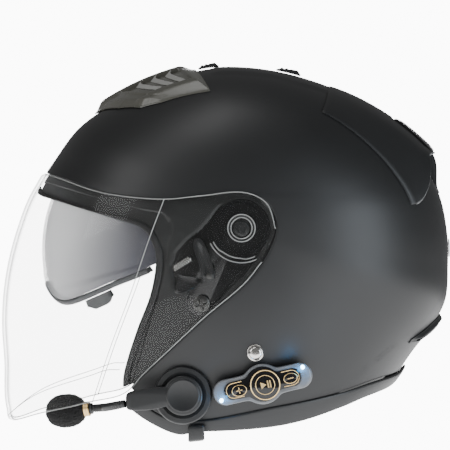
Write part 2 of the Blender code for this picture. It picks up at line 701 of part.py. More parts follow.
# ---- Intercom on the left side: control pod, boom microphone and clip ----
POD_MIDDLE, POD_TILT = (14.5, -106.2), 12.9
PLAY_AT, UP_AT, DOWN_AT = (16.1, -106.6), (-1.5, -110.5), (33.4, -102.1)
LED_FRONT, LED_REAR = (-13.6, -117.4), (41.6, -94.6)
POD_BASE = 2.9
FACE_HEIGHT, BUTTON_BASE, BUTTON_TOP = 13.9, 14.9, 16.6
BOOM_PIVOT, BOOM_RADIUS, BOOM_HUB_RADIUS = (-39.9, -114.1), 19.8, 13.6


def tilted(outline, degrees=POD_TILT):
    turn = np.radians(degrees)
    return outline @ np.array(((np.cos(turn), np.sin(turn)), (-np.sin(turn), np.cos(turn))))


def pod_outline(half_length, half_height, bulge, sides=36):
    """A long rounded bar that swells round the middle button."""
    t = np.linspace(0, 2 * np.pi, sides, endpoint=False)
    along = half_length * np.sign(np.cos(t)) * np.abs(np.cos(t)) ** 0.75
    up = half_height * np.sign(np.sin(t)) * np.abs(np.sin(t)) ** 0.55
    up = up + np.sign(up) * (bulge - half_height) * np.exp(-((along / 13.0) ** 2)) * np.abs(np.sin(t))
    return tilted(np.stack([along, up], 1))


def control_pod(plastic, face_material, button_material, light_material):
    """The pod and its buttons lie in planes across the axle, on a curved base on the trim."""
    steps = ((0.02, POD_BASE, True), (0.97, POD_BASE, True), (1.0, 8.0, False),
             (1.0, 11.0, False), (0.95, 12.6, False), (0.02, 12.6, False))
    flat = standing_on(1, POD_MIDDLE, pod_outline(34.0, 9.6, 14.0), steps, "pod_housing", plastic)
    sheet = ((0.0, FACE_HEIGHT - 1), (1.0, FACE_HEIGHT - 1), (0.98, FACE_HEIGHT), (0.0, FACE_HEIGHT))
    relief("pod_faceplate", POD_MIDDLE, pod_outline(27.0, 7.0, 12.2), sheet, flat, face_material)
    button = ((1.0, BUTTON_BASE), (1.0, BUTTON_TOP - 0.6), (0.85, BUTTON_TOP))
    relief("play_button", PLAY_AT, disc_outline(10.4, 24), button, flat, button_material)
    plus, minus = disc_outline(3.9, 16, stretch=1.35), disc_outline(3.5, 16, stretch=1.4)
    relief("volume_up_button", UP_AT, plus, button, flat, button_material)
    relief("volume_down_button", DOWN_AT, minus, button, flat, button_material)
    bead = ((0.0, 12.9), (1.0, 12.9), (0.9, 13.6), (0.0, 13.9))
    for name, where in (("front", LED_FRONT), ("rear", LED_REAR)):
        relief(f"led_{name}", where, disc_outline(1.3, 8), bead, flat, light_material)


def boom_arm(flat, material):
    """The turning disc of the boom, with the short tail that the gooseneck leaves from."""
    turn = np.linspace(0, 2 * np.pi, 28, endpoint=False)
    disc = BOOM_HUB_RADIUS * np.stack([np.cos(turn), np.sin(turn)], 1)
    tail = np.array(((-26.5, 4.8), (-38.5, 1.6), (-37.5, -9.6), (-26.0, -9.6)))
    outline = np.concatenate([disc[turn < 2.62], tail, disc[turn > 3.67]])
    profile = ((0.0, 9.9), (1.0, 9.9), (1.0, 14.2), (0.96, 15.4), (0.0, 15.4))
    relief("boom_hub", BOOM_PIVOT, outline, profile, flat, material)


def boom_microphone(plastic, dark, foam, gold):
    steps = ((0.02, POD_BASE, True), (1.0, POD_BASE, True), (1.0, 8.4, False),
             (0.95, 9.6, False), (0.02, 9.6, False))
    flat = standing_on(1, BOOM_PIVOT, disc_outline(BOOM_RADIUS, 28), steps, "boom_base", plastic)
    boom_arm(flat, dark)
    out = float(side_x(np.array(BOOM_PIVOT[0]), np.array(BOOM_PIVOT[1]))) + 12.6
    stalk = ((out, -79.4, -119.6), (out - 4, -86.0, -121.0), (out - 24, -92.0, -122.6),
             (out - 52, -94.0, -123.6), (out - 63, -96.5, -124.1), (out - 67, -101.0, -124.6))
    path = spline(stalk, 18)
    tube("gooseneck", path, 2.85, dark, sides=10)
    ahead = unit(np.array((-6.0, -27.0, -2.6)))
    reach_out = np.array((1.8, 3.4, 3.6, 14.0))[:, None]
    tube("mic_capsule", path[-1] + ahead * reach_out, (3.9, 3.9, 3.0, 3.0), dark, sides=12)
    across = unit(np.cross(ahead, (0, 0, 1.0)))
    turn = np.linspace(0, 2 * np.pi, 18, endpoint=False)[:, None]
    spokes = np.cos(turn) * across + np.sin(turn) * np.cross(across, ahead)
    ferrule = ((3.9, 3.4), (3.9, 5.2), (7.8, 5.2), (7.8, 3.4))
    loft("mic_ring", [path[-1] + a * ahead + r * spokes for a, r in ferrule], gold, closed=True)
    bend = np.radians(np.linspace(25, 170, 9))
    dome = list(zip(20.6 - 14.0 * np.cos(bend), 11.6 * np.sin(bend) ** 0.75))
    steps = [(14.5, 0.3), (14.5, 3.4), (8.2, 3.4), *dome, (dome[-1][0] + 0.2, 0.3)]
    loft("mic_windscreen", [path[-1] + a * ahead + r * spokes for a, r in steps], foam)


CLIP_AT = (-25.2, -28.9, -32.6, -36.4)   # Y of its sections, from the rear
CLIP_TOP, CLIP_REACH = -134.4, 12.5


def boom_clip(material):
    """A hook that grips the lower edge from outside, under it and up the inside."""
    sections = []
    for y in CLIP_AT:
        x = float(side_x(np.array(y), np.array(-130.0)))
        low = float(np.interp(y, *np.array(LOWER_EDGE).T)) - 5.2
        corners = ((2.8, CLIP_TOP), (6.4, CLIP_TOP), (5.6, low - 2.6), (-1.0, low - 4.2),
                   (-CLIP_REACH, low - 4.2), (-CLIP_REACH, low - 1.2), (-1.2, low - 1.4), (2.6, low - 0.4))
        sections.append([(x + out, y, z) for out, z in corners])
    loft("boom_clip", sections, material)


# ---- Speakers and the chin strap, done up and tucked between the cheeks ----
SPEAKER_AT, SPEAKER_RADIUS = (14.0, -30.0), 19.0
STRAP_PATH = ((70.0, 2.0, -92.0), (69.0, -6.0, -106.0), (60.0, -18.0, -119.0))
STRAP_END = (-27.0, -127.0)                # Y and Z where both straps enter the buckle
STRAP_WIDTH, STRAP_THICK = 22.0, 1.6
RECEIVER = ((11.0, -39.5, -133.4), (26.0, -15.0, -129.4))
TONGUE = ((-4.0, -35.5, -132.6), (10.4, -19.0, -130.2))
LEVER = ((13.0, -37.0, -135.9), (25.0, -18.0, -133.8))


def speaker(side, name, material):
    profile = ((0.0, -35.0), (0.9, -35.0), (1.0, -36.2), (1.0, -40.4), (0.85, -41.6), (0.0, -41.8))
    outline = disc_outline(SPEAKER_RADIUS, 20)
    relief(f"speaker_{name}", SPEAKER_AT, outline, profile, beside(side), material)


def webbing(name, path, material):
    """Flat strap along a path, its width running fore and aft."""
    path = np.array(path, float)
    ahead = unit(np.gradient(path, axis=0))
    wide = np.broadcast_to((0.0, 1.0, 0.0), path.shape)
    wide = unit(wide - ahead * (wide * ahead).sum(1, keepdims=True))
    wide, thick = wide * STRAP_WIDTH / 2, np.cross(ahead, wide) * STRAP_THICK / 2
    corners = ((-1, -1), (1, -1), (1, 1), (-1, 1))
    rings = [[p + s * w + t * n for s, t in corners] for p, w, n in zip(path, wide, thick)]
    loft(name, rings, material)


def strap_rivet(side, name, material):
    turn = np.linspace(0, 2 * np.pi, 12, endpoint=False)
    rings = []
    for x, radius in ((71.2, 0.1), (71.2, 5.5), (72.6, 4.5), (72.6, 0.1)):
        y = STRAP_PATH[0][1] + radius * np.cos(turn)
        z = STRAP_PATH[0][2] + radius * np.sin(turn)
        rings.append(np.stack([np.full(12, side * x), y, z], 1))
    loft(f"strap_rivet_{name}", rings, material)


def block(name, corners, material):
    (left, front, low), (right, rear, high) = corners
    section = ((front, low), (rear, low), (rear, high), (front, high))
    loft(name, [[(x, y, z) for y, z in section] for x in (left, right)], material)


def chin_pad(material):
    """Comfort pad over the straps: an oval section that dips in the middle."""
    turn = np.linspace(0, 2 * np.pi, 12, endpoint=False)
    rings = []
    for x in np.linspace(-22, 34, 8):
        y = -27.0 - 11.0 * np.cos(turn)
        z = -121.4 + 2.2 * np.sin(turn) + 0.0028 * x * x
        rings.append(np.stack([np.full(12, x), y, z], 1))
    loft("chin_pad", rings, material)


def chin_strap(fabric, metal, plastic):
    for side, name, stop in ((1, "left", 27.0), (-1, "right", 9.0)):
        way = spline((*STRAP_PATH, (stop, *STRAP_END)), 12)
        webbing(f"chin_strap_{name}", way * (side, 1, 1), fabric)
        strap_rivet(side, name, metal)
    block("buckle_receiver", RECEIVER, metal)
    block("buckle_tongue", TONGUE, metal)
    block("buckle_lever", LEVER, plastic)


# ---- Origins of the moving pieces, on their joints' axes: (X, Y, Z) ----
# The shield and the crest tabs turn about the world's own X axis, so theirs stay there.
AXIS_PLACES = (
    (("sun_visor_lens", "sun_visor_rim", "sun_visor_tab", "sun_visor_pivot_left",
      "sun_visor_pivot_right"), (0.0, *SUN_PIVOT)),
    (("boom_hub", "gooseneck", "mic_capsule", "mic_ring", "mic_windscreen"), (0.0, *BOOM_PIVOT)),
    (("play_button",), (0.0, *PLAY_AT)),
    (("volume_up_button",), (0.0, *UP_AT)),
    (("volume_down_button",), (0.0, *DOWN_AT)),
    (("release_lever_left", "release_lever_right"), (0.0, *LEVER_PIVOT)),
    (("front_vent_slider",), (0.0, 4.8, -64.5)),
    (("buckle_lever",), (24.4, 0.0, -134.4)),
)


def hang_on_axes():
    for names, place in AXIS_PLACES:
        for name in names:
            thing = bpy.data.objects[name]
            thing.data.transform(Matrix.Translation(Vector(place) * -MM))
            thing.location = Vector(place) * MM


def build():
    for thing in list(bpy.data.objects):
        bpy.data.objects.remove(thing)
    black, grey = (0.018, 0.019, 0.020), (0.07, 0.075, 0.078)
    outer_shell(finish("matt_black_shell", black, 0.42))
    eps_liner(finish("liner_foam", (0.05, 0.05, 0.052), 0.9))
    crown_pad(finish("crown_fabric", (0.06, 0.06, 0.065), 0.95))
    for side, name in ((1, "left"), (-1, "right")):
        cheek_pad(side, f"cheek_pad_{name}", finish(f"cheek_fabric_{name}", (0.05, 0.05, 0.055), 0.95))
        plastic = finish(f"ratchet_plastic_{name}", (0.05, 0.052, 0.055), 0.5)
        ratchet(side, name, plastic, finish(f"ratchet_steel_{name}", (0.35, 0.36, 0.37), 0.35, 0.9))
        lever_spring(side, name, finish(f"spring_steel_{name}", (0.6, 0.6, 0.58), 0.3, 1.0))
        snap_stud(side, name, finish(f"stud_steel_{name}", (0.7, 0.68, 0.65), 0.2, 1.0))
        speaker(side, name, finish(f"speaker_cloth_{name}", (0.04, 0.04, 0.04), 0.9))
    neck_roll(finish("neck_fabric", (0.04, 0.04, 0.045), 0.95))
    eyeport_trim(finish("lip_rubber", (0.03, 0.03, 0.032), 0.6))
    lower_edge_trim(finish("trim_paint", (0.03, 0.031, 0.033), 0.4))
    visor(finish("clear_shield", (0.9, 0.92, 0.93), 0.04, alpha=0.2))
    lens = finish("sun_lens", (0.28, 0.28, 0.31), 0.08, alpha=0.75)
    sun_visor(lens, finish("rim_grey", grey, 0.5), finish("boss_plastic", (0.05, 0.05, 0.05), 0.5))
    finger_tab(finish("tab_grey", grey, 0.5))
    slider = finish("vent_slider_grey", (0.5, 0.5, 0.48), 0.4)
    front_vent(finish("vent_taupe", (0.10, 0.10, 0.085), 0.3), slider)
    crest_tab("crest_vent_tab_front", 75.0, 82.2, finish("tab_black_front", black, 0.3))
    crest_tab("crest_vent_tab_rear", 102.6, 111.3, finish("tab_black_rear", black, 0.3))
    rear_spoiler(finish("spoiler_black", black, 0.4), finish("insert_gloss", black, 0.08))
    neck_exhaust(finish("exhaust_black", black, 0.35))
    rear_reflector(finish("reflector_white", (0.75, 0.75, 0.73), 0.25))
    gloss = finish("face_gloss", (0.01, 0.01, 0.012), 0.06)
    buttons = finish("button_gloss", (0.012, 0.012, 0.014), 0.1)
    light = finish("light_blue", (0.05, 0.4, 0.85), 0.2)
    control_pod(finish("pod_grey", (0.15, 0.155, 0.16), 0.4), gloss, buttons, light)
    boom = finish("boom_plastic", (0.028, 0.03, 0.031), 0.45)
    foam = finish("foam_black", (0.01, 0.01, 0.01), 0.98)
    gold = finish("gold", (0.65, 0.42, 0.17), 0.25, 1.0)
    boom_microphone(boom, finish("boom_dark", (0.02, 0.021, 0.022), 0.5), foam, gold)
    boom_clip(boom)
    steel = finish("buckle_steel", (0.55, 0.55, 0.54), 0.3, 1.0)
    chin_strap(finish("strap_webbing", (0.02, 0.02, 0.022), 0.85), steel,
               finish("buckle_red", (0.35, 0.02, 0.02), 0.4))
    chin_pad(finish("strap_pad", (0.03, 0.03, 0.033), 0.95))
    hang_on_axes()


build()
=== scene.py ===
# %% [markdown]
# # An open face motorcycle helmet, surface by surface
# The solids that carry the joints are loaded first and stay where they are. Everything that
# the eye sees is then worked out as smooth surfaces over them, in the same frame: the origin
# is the midpoint of the shield's pivot axis, -Y is the front, +X the wearer's left, +Z up.

# %% Load the frame
import json
import bmesh
import bpy
import numpy as np
from mathutils import Matrix


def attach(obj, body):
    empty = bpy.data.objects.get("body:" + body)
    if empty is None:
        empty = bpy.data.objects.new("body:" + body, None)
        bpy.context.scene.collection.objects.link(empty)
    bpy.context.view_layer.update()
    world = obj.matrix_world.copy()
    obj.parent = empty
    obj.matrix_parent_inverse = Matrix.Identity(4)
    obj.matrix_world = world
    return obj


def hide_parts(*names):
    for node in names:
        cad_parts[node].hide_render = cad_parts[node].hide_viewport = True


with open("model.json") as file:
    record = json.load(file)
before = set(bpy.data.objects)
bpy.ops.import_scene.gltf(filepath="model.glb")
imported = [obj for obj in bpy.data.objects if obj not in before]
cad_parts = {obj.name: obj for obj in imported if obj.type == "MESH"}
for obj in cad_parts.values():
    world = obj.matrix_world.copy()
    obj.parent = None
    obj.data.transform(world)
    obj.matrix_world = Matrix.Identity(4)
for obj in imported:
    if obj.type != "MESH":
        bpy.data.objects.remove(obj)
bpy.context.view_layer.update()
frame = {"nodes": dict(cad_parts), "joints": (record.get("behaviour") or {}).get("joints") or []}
joint = {entry["name"]: entry for entry in frame["joints"]}
SUN_PIVOT = np.array(joint["sun_lens_pivot"]["pos_m"][1:]) * 1000
BOOM_PIVOT = np.array(joint["boom_swivel"]["pos_m"][1:]) * 1000

# %% [markdown]
# ## Camera, light and floor
# A product shot of a matt black helmet is lit by big soft boxes, because a black shell shows
# nothing but what it reflects. The camera stands far off with a long lens, square to the
# pivot axis, so that the two halves of the helmet lie exactly behind each other.

# %% Camera
def add(name, data):
    """A new object for a mesh, light or camera, linked into the scene."""
    thing = bpy.data.objects.new(name, data)
    bpy.context.scene.collection.objects.link(thing)
    return thing


VIEW_WIDTH = 0.315          # metres seen across the frame at the pivots' plane
VIEW_DISTANCE = 4.4
SIGHT = (-0.0112, 0.0021)   # Y and Z at the frame's centre


def look_at_side():
    """A long lens, level and square to the pivot axis."""
    camera = bpy.data.cameras.new("camera")
    camera.lens = 36 * VIEW_DISTANCE / VIEW_WIDTH
    camera.clip_end = 40
    stand = add("camera", camera)
    stand.location = (VIEW_DISTANCE, *SIGHT)
    stand.rotation_euler = (np.pi / 2, 0, np.pi / 2)
    bpy.context.scene.camera = stand


look_at_side()


# %% Lights and surroundings
def soft_box(name, place, aim, size, power, tint=(1, 1, 1)):
    """A rectangular lamp at a place, turned so that its -Z axis points at the aim."""
    light = bpy.data.lights.new(name, "AREA")
    light.shape = "RECTANGLE"
    light.size, light.size_y = size
    light.energy = power
    light.color = tint
    stand = add(name, light)
    ahead = np.array(aim, float) - np.array(place, float)
    ahead /= np.linalg.norm(ahead)
    right = np.cross(ahead, (0, 0, 1.0))
    right /= np.linalg.norm(right)
    up = np.cross(right, ahead)
    stand.matrix_world = Matrix(np.vstack([
        np.column_stack([right, up, -ahead, place]), (0, 0, 0, 1)]))


soft_box("key_front", (0.85, -1.15, 0.75), (0, -0.05, 0.02), (0.7, 0.9), 7.0)
soft_box("fill_rear", (0.95, 1.15, 0.05), (0, 0.08, 0), (0.8, 1.2), 17.0, (0.84, 0.92, 1))
soft_box("top", (0.35, -0.25, 1.4), (0, 0, 0), (0.4, 1.0), 5.0)
soft_box("side_strip", (1.3, -0.55, -0.25), (0, -0.05, -0.02), (0.25, 0.7), 0.6)


def studio_world(backdrop, room):
    """A small white backdrop behind the object in a dim room, by direction.

    The backdrop is small so that the black shell doesn't mirror it all along its outline."""
    world = bpy.data.worlds.new("studio")
    world.use_nodes = True
    tree = world.node_tree
    way = tree.nodes.new("ShaderNodeTexCoord")
    split = tree.nodes.new("ShaderNodeSeparateXYZ")
    ramp = tree.nodes.new("ShaderNodeMapRange")
    for socket, value in zip(("From Min", "From Max", "To Min", "To Max"), (-0.985, -0.9975, room, backdrop)):
        ramp.inputs[socket].default_value = value
    tree.links.new(way.outputs["Generated"], split.inputs[0])
    tree.links.new(split.outputs[0], ramp.inputs["Value"])
    tree.links.new(ramp.outputs[0], tree.nodes["Background"].inputs["Strength"])
    tree.nodes["Background"].inputs["Color"].default_value = (1, 1, 1, 1)
    bpy.context.scene.world = world


studio_world(backdrop=11.0, room=0.2)

# %% [markdown]
# ## Shader maths
# A material is a graph of nodes, and a graph is hard to read as code. This class wraps one
# socket: adding or multiplying two wrapped sockets adds a Math node and wraps its output, so
# a pattern can be written as the sum that it is.


# %% A socket that does arithmetic
class Signal:
    """One output socket; arithmetic on it adds Math nodes to its tree."""

    def __init__(self, tree, socket):
        self.tree, self.socket = tree, socket

    def node(self, kind, settings=(), inputs=(), output=0):
        """Adds a node: its settings first, then values or signals for its sockets by name."""
        made = self.tree.nodes.new(kind)
        for name, value in dict(settings).items():
            setattr(made, name, value)
        for name, value in dict(inputs).items():
            if isinstance(value, Signal):
                self.tree.links.new(value.socket, made.inputs[name])
            else:
                made.inputs[name].default_value = value
        return Signal(self.tree, made.outputs[output])

    def axis(self, number):
        return self.node("ShaderNodeSeparateXYZ", {}, {"Vector": self}, output=number)

    def maths(self, operation, *values):
        return self.node("ShaderNodeMath", {"operation": operation}, dict(enumerate(values)))

    def __add__(self, other):
        return self.maths("ADD", self, other)

    def __mul__(self, other):
        return self.maths("MULTIPLY", self, other)

    def __sub__(self, other):
        return self.maths("SUBTRACT", self, other)

    def __rsub__(self, other):
        return self.maths("SUBTRACT", other, self)

    def __pow__(self, other):
        return self.maths("POWER", self, other)

    __radd__, __rmul__ = __add__, __mul__

    def step(self, low, high):
        """0 below low, 1 above high, and smooth between."""
        return self.node("ShaderNodeMapRange", {"interpolation_type": "SMOOTHSTEP"},
                         {"Value": self, "From Min": low, "From Max": high})

    def tint(self, first, second):
        """Colour mixed from first to second by this signal."""
        return self.node("ShaderNodeMix", {"data_type": "RGBA"},
                         {"Factor": self, "A": (*first, 1), "B": (*second, 1)}, output=2)


def noise(place, scale, detail=3.0, roughness=0.5):
    return place.node("ShaderNodeTexNoise", {}, {
        "Vector": place, "Scale": scale, "Detail": detail, "Roughness": roughness})


def surface(name, colour, roughness, metallic=0.0, **constants):
    """A new material; returns it, its shader and its object coordinates as a signal."""
    material = bpy.data.materials.new(name)
    material.use_nodes = True
    tree = material.node_tree
    shader = tree.nodes["Principled BSDF"]
    shader.inputs["Base Color"].default_value = (*colour, 1)
    shader.inputs["Roughness"].default_value = roughness
    shader.inputs["Metallic"].default_value = metallic
    for socket, value in constants.items():
        shader.inputs[socket.replace("_", " ")].default_value = value
    place = Signal(tree, tree.nodes.new("ShaderNodeTexCoord").outputs["Object"])
    return material, shader, place


def feed(shader, socket, signal):
    """Drives one of the shader's sockets by a signal."""
    signal.tree.links.new(signal.socket, shader.inputs[socket])


def bump(shader, height, distance, strength=1.0):
    """Raises the surface by a height signal: distance is in metres for a height of one."""
    feed(shader, "Normal", height.node(
        "ShaderNodeBump", {}, {"Height": height, "Distance": distance, "Strength": strength}))

# %% [markdown]
# ## Finishes
# The shell is matt lacquer: very fine orange peel and a faint cloudiness in its roughness, so
# that its highlights are broad and not quite even. Moulded plastics carry a spark-eroded
# grain, foam is all pores, and the knit of the lining is two crossed waves.


# %% Plastics and lacquer
def lacquer(name, colour, roughness, grain=0.00001, cloud=0.05):
    """Sprayed lacquer: fine orange peel, and a broad cloud in its roughness and shade."""
    material, shader, place = surface(name, colour, roughness)
    fine = noise(place, 2600.0, 2.0)
    broad = noise(place, 26.0, 3.0)
    feed(shader, "Roughness", broad * cloud + (roughness - cloud / 2))
    darker = tuple(channel * 0.86 for channel in colour)
    feed(shader, "Base Color", broad.tint(darker, colour))
    bump(shader, fine, grain, 0.5)
    return material


def moulded(name, colour, roughness, scale=1400.0):
    """Plastic from a textured mould: Voronoi pits, with scuffs that shine a little."""
    material, shader, place = surface(name, colour, roughness)
    pits = place.node("ShaderNodeTexVoronoi", {}, {"Vector": place, "Scale": scale})
    scuff = noise(place, 120.0, 4.0, 0.65).step(0.55, 0.75)
    feed(shader, "Roughness", roughness - scuff * 0.09)
    lighter = tuple(min(1.0, channel * 1.25 + 0.004) for channel in colour)
    feed(shader, "Base Color", scuff.tint(colour, lighter))
    bump(shader, pits, 0.00004, 0.4)
    return material


def lighten_brow_painted_reflection(material, plain, brow):
    """Lightens a plastic along Y towards the brow: painted reflection and haze of the shield that lies over
    it.
    """
    tree = material.node_tree
    shader = next(node for node in tree.nodes if node.type == "BSDF_PRINCIPLED")
    place = Signal(tree, tree.nodes.new("ShaderNodeTexCoord").outputs["Object"])
    along = place.axis(1)
    feed(shader, "Base Color", along.step(-0.095, -0.15).tint(plain, brow))


def metal(name, colour, roughness, brushed=0.0):
    """Metal with fine drawn lines: noise stretched along X."""
    material, shader, place = surface(name, colour, roughness, 1.0)
    stretched = place.node("ShaderNodeMapping", {}, {"Vector": place, "Scale": (30.0, 900.0, 900.0)})
    lines = noise(stretched, 1.0, 4.0, 0.7)
    feed(shader, "Roughness", lines * (0.12 + brushed) + (roughness - 0.06))
    bump(shader, lines, 0.00002, 0.2 + brushed)
    return material


SHELL_BLACK = lacquer("matt_black_lacquer", (0.0075, 0.0080, 0.0085), 0.45)
TRIM_BLACK = lacquer("satin_trim", (0.010, 0.0105, 0.011), 0.42)
RECESS_BLACK = moulded("recess_plastic", (0.010, 0.0105, 0.0105), 0.42)
# painted reflection: the seat's colour goes lighter grey towards the brow, under the shield
lighten_brow_painted_reflection(RECESS_BLACK, (0.010, 0.0105, 0.0105), (0.10, 0.102, 0.104))
DARK_PLASTIC = moulded("dark_plastic", (0.008, 0.0085, 0.009), 0.40)
MECHANISM = moulded("mechanism_plastic", (0.006, 0.006, 0.0065), 0.2, scale=900.0)
# painted shade: the mechanism pocket's floor is darker than the plastic round it
BAY_PAINTED_SHADE = moulded("bay_painted_shade", (0.002, 0.002, 0.0022), 0.22)
# painted highlight: a light grey for thin beads that stand for edges catching the light
PAINTED_HIGHLIGHT_BEAD = moulded("painted_highlight_edge", (0.30, 0.305, 0.30), 0.3)
DARK_STEEL = metal("dark_steel", (0.085, 0.085, 0.082), 0.32, brushed=0.1)
RIM_GREY = moulded("rim_grey", (0.080, 0.083, 0.086), 0.36)
# painted highlight: a light grey for the spoiler's rear edge catching the light
EDGE_PAINTED_HIGHLIGHT = lacquer("spoiler_edge_painted_highlight", (0.15, 0.152, 0.152), 0.35)
POD_GREY = moulded("pod_grey", (0.13, 0.135, 0.142), 0.36)
TAUPE = lacquer("vent_taupe", (0.086, 0.084, 0.071), 0.27, cloud=0.08)
LOUVRE = lacquer("louvre_grey", (0.34, 0.34, 0.325), 0.35)
PIANO = lacquer("piano_black", (0.006, 0.006, 0.0065), 0.07, grain=0.000002, cloud=0.02)
RUBBER = moulded("lip_rubber", (0.008, 0.008, 0.0085), 0.5)
STEEL = metal("polished_steel", (0.72, 0.70, 0.67), 0.16)
BRUSHED = metal("brushed_steel", (0.42, 0.42, 0.41), 0.36, brushed=0.15)
SPRING = metal("spring_wire", (0.55, 0.54, 0.52), 0.25)
GOLD = metal("gold_plate", (0.90, 0.64, 0.30), 0.38)
BUCKLE_RED = moulded("buckle_red", (0.33, 0.016, 0.014), 0.35)
REFLECTOR = lacquer("reflector", (0.72, 0.72, 0.70), 0.22)


# %% Clear parts, lights and soft materials
def glazing(name, colour, thin, thick, roughness):
    """Clear plastic as partial cover: thin where seen square on, thicker towards grazing."""
    material, shader, place = surface(name, colour, roughness)
    facing = place.node("ShaderNodeLayerWeight", {}, {"Blend": 0.35}, output=1)
    haze = noise(place, 9.0, 2.0)
    feed(shader, "Roughness", haze * 0.02 + roughness)
    feed(shader, "Alpha", facing.step(0.66, 0.86) * (thick - thin) + thin)
    return material


def sun_tint():
    """Smoke that stays dense and dark at its ends and turns thinner and light grey towards the middle of the
    face: a painted reflection of the lens seen there at a grazing angle.
    """
    material, shader, place = surface("sun_lens_smoke_painted_reflection", (0.3, 0.3, 0.33), 0.24)
    across = place.axis(1)
    rise = place.axis(2)
    # painted reflection: towards the front the colour goes light grey and the cover thins
    clear = (rise * 0.35 - across).step(0.05, 0.13)
    feed(shader, "Base Color", clear.tint((0.085, 0.085, 0.108), (0.62, 0.625, 0.64)))
    feed(shader, "Alpha", 0.93 - clear * 0.42)
    return material


def knit(name, colour, rib=1500.0):
    """Brushed knit: two crossed waves for the stitches under a soft nap."""
    material, shader, place = surface(name, colour, 0.95, Sheen_Weight=0.35, Sheen_Roughness=0.5)
    x, y, z = (place.axis(number) for number in range(3))
    across = ((x + y * 0.35) * rib).maths("SINE", (x + y * 0.35) * rib)
    along = ((z + y * 0.5) * rib).maths("SINE", (z + y * 0.5) * rib)
    nap = noise(place, 420.0, 4.0, 0.7)
    feed(shader, "Base Color", nap.tint(tuple(c * 0.6 for c in colour), tuple(c * 1.5 for c in colour)))
    bump(shader, across * along * 0.5 + nap, 0.00025, 0.8)
    return material


def pores(name, colour, scale, depth):
    """Open-cell or beaded foam: Voronoi cells, with painted shade darkening their hollows and their raised
    middles painted lighter.
    """
    material, shader, place = surface(name, colour, 0.95)
    cells = place.node("ShaderNodeTexVoronoi", {}, {"Vector": place, "Scale": scale})
    rim = cells.step(0.15, 0.6)
    # painted shade and light: hollows between the cells darker, the cell middles lighter
    feed(shader, "Base Color", rim.tint(tuple(c * 1.5 for c in colour), tuple(c * 0.5 for c in colour)))
    bump(shader, 1 - cells, depth, 1.0)
    return material


def glow(name, colour, power):
    """A lit lens, whiter in the middle of its blobs of noise."""
    material, shader, place = surface(name, colour, 0.2)
    shader.inputs["Emission Color"].default_value = (*colour, 1)
    shader.inputs["Emission Strength"].default_value = power
    centre = noise(place, 500.0, 1.0)
    feed(shader, "Emission Color", centre.step(0.35, 0.65).tint(colour, (0.75, 0.93, 1.0)))
    return material


CLEAR = glazing("clear_shield", (0.030, 0.031, 0.029), 0.09, 0.62, 0.03)
# painted highlights: light grey, nearly opaque glazing for the shield's edges and crease lines catching the
# light
CLEAR_EDGE_PAINTED_HIGHLIGHT = glazing("clear_edge_painted_highlight", (0.34, 0.35, 0.34), 0.7, 0.9, 0.15)
CREASE_PAINTED_HIGHLIGHT = glazing("clear_crease_painted_highlight", (0.42, 0.43, 0.42), 0.75, 0.85, 0.15)
SMOKE = sun_tint()
LINING = knit("lining_knit", (0.030, 0.030, 0.033))
LINER_FOAM = pores("liner_foam", (0.03, 0.03, 0.031), 260.0, 0.0004)
WIND_FOAM = pores("wind_foam", (0.0035, 0.0035, 0.0038), 900.0, 0.0007)
WEBBING = knit("strap_webbing", (0.012, 0.012, 0.013), 2600.0)
BLUE_GLOW = glow("status_light", (0.10, 0.55, 0.95), 14.0)
print("materials:", len(bpy.data.materials))

# %% [markdown]
# ## The shell's shape as one formula
# In the middle plane the shell has a radius for every angle from the front; across, it
# closes like a superellipse. Both together are one implicit surface,
# (|x|/w)^n + (r/R(angle))^n = 1, and a piece on it is then a set of directions.

# %% Sizes of the shell and shield, in millimetres
HALF_WIDTH, POWER = 122.0, 2.4
WALL, SHIELD_WALL, SHIELD_GAP = 4.0, 2.2, 0.6
RECESS_SIDE, RECESS_BROW = 4.6, 2.4
SHELL_PROFILE = (
    (0, 148.0), (10, 145.6), (20, 138.6), (32, 133.0), (42, 126.0), (60, 117.5),
    (82, 112.9), (95, 111.5), (112, 112.7), (126, 117.0), (144, 124.0), (159, 133.0),
    (170, 140.4), (180, 143.8), (190, 147.0), (200, 151.5), (208, 149.6), (216, 147.6),
    (225, 150.5), (240, 168.0), (270, 205.0), (300, 200.0), (330, 166.0), (345, 153.0),
)
SHIELD_PROFILE = (
    (0, 153.6), (7.5, 147.6), (15.5, 141.2), (30, 140.0), (60, 160.0), (120, 200.0),
    (180, 230.0), (240, 220.0), (290, 214.0), (305, 208.0), (312, 210.0), (321, 206.0),
    (331, 186.4), (337.3, 178.2), (344, 170.2), (352, 161.4),
)
RECESS_EDGE = (
    (-134.6, 37.9), (-122.0, 34.0), (-93.8, 24.5), (-56.7, 20.3), (-28.0, 22.4),
    (0.2, 24.9), (17.5, 17.2), (23.7, -0.6), (14.3, -23.3), (0.2, -40.0),
    (-28.0, -63.7), (-65.8, -99.0), (-76.0, -109.5),
)
EYEPORT_EDGE = (
    (-140.7, 25.9), (-133.0, 20.7), (-115.5, 15.0), (-86.8, 6.7), (-70.0, 1.0),
    (-61.5, -10.0), (-58.8, -24.0), (-62.7, -47.4), (-72.0, -72.0), (-81.0, -101.0),
    (-82.0, -112.0),
)
TRIM_SEAM = (
    (-76.0, -109.5), (-57.0, -126.0), (-36.0, -131.0), (20.0, -122.0), (69.3, -112.0),
    (97.0, -103.5), (114.0, -95.0),
)
LOWER_EDGE = (
    (-82.0, -112.0), (-66.0, -127.0), (-42.0, -138.0), (-24.5, -136.0), (16.1, -133.0),
    (69.3, -119.5), (93.8, -110.0), (110.6, -98.7),
)


# %% Curves and surfaces
SIDES = ((1, "left"), (-1, "right"))


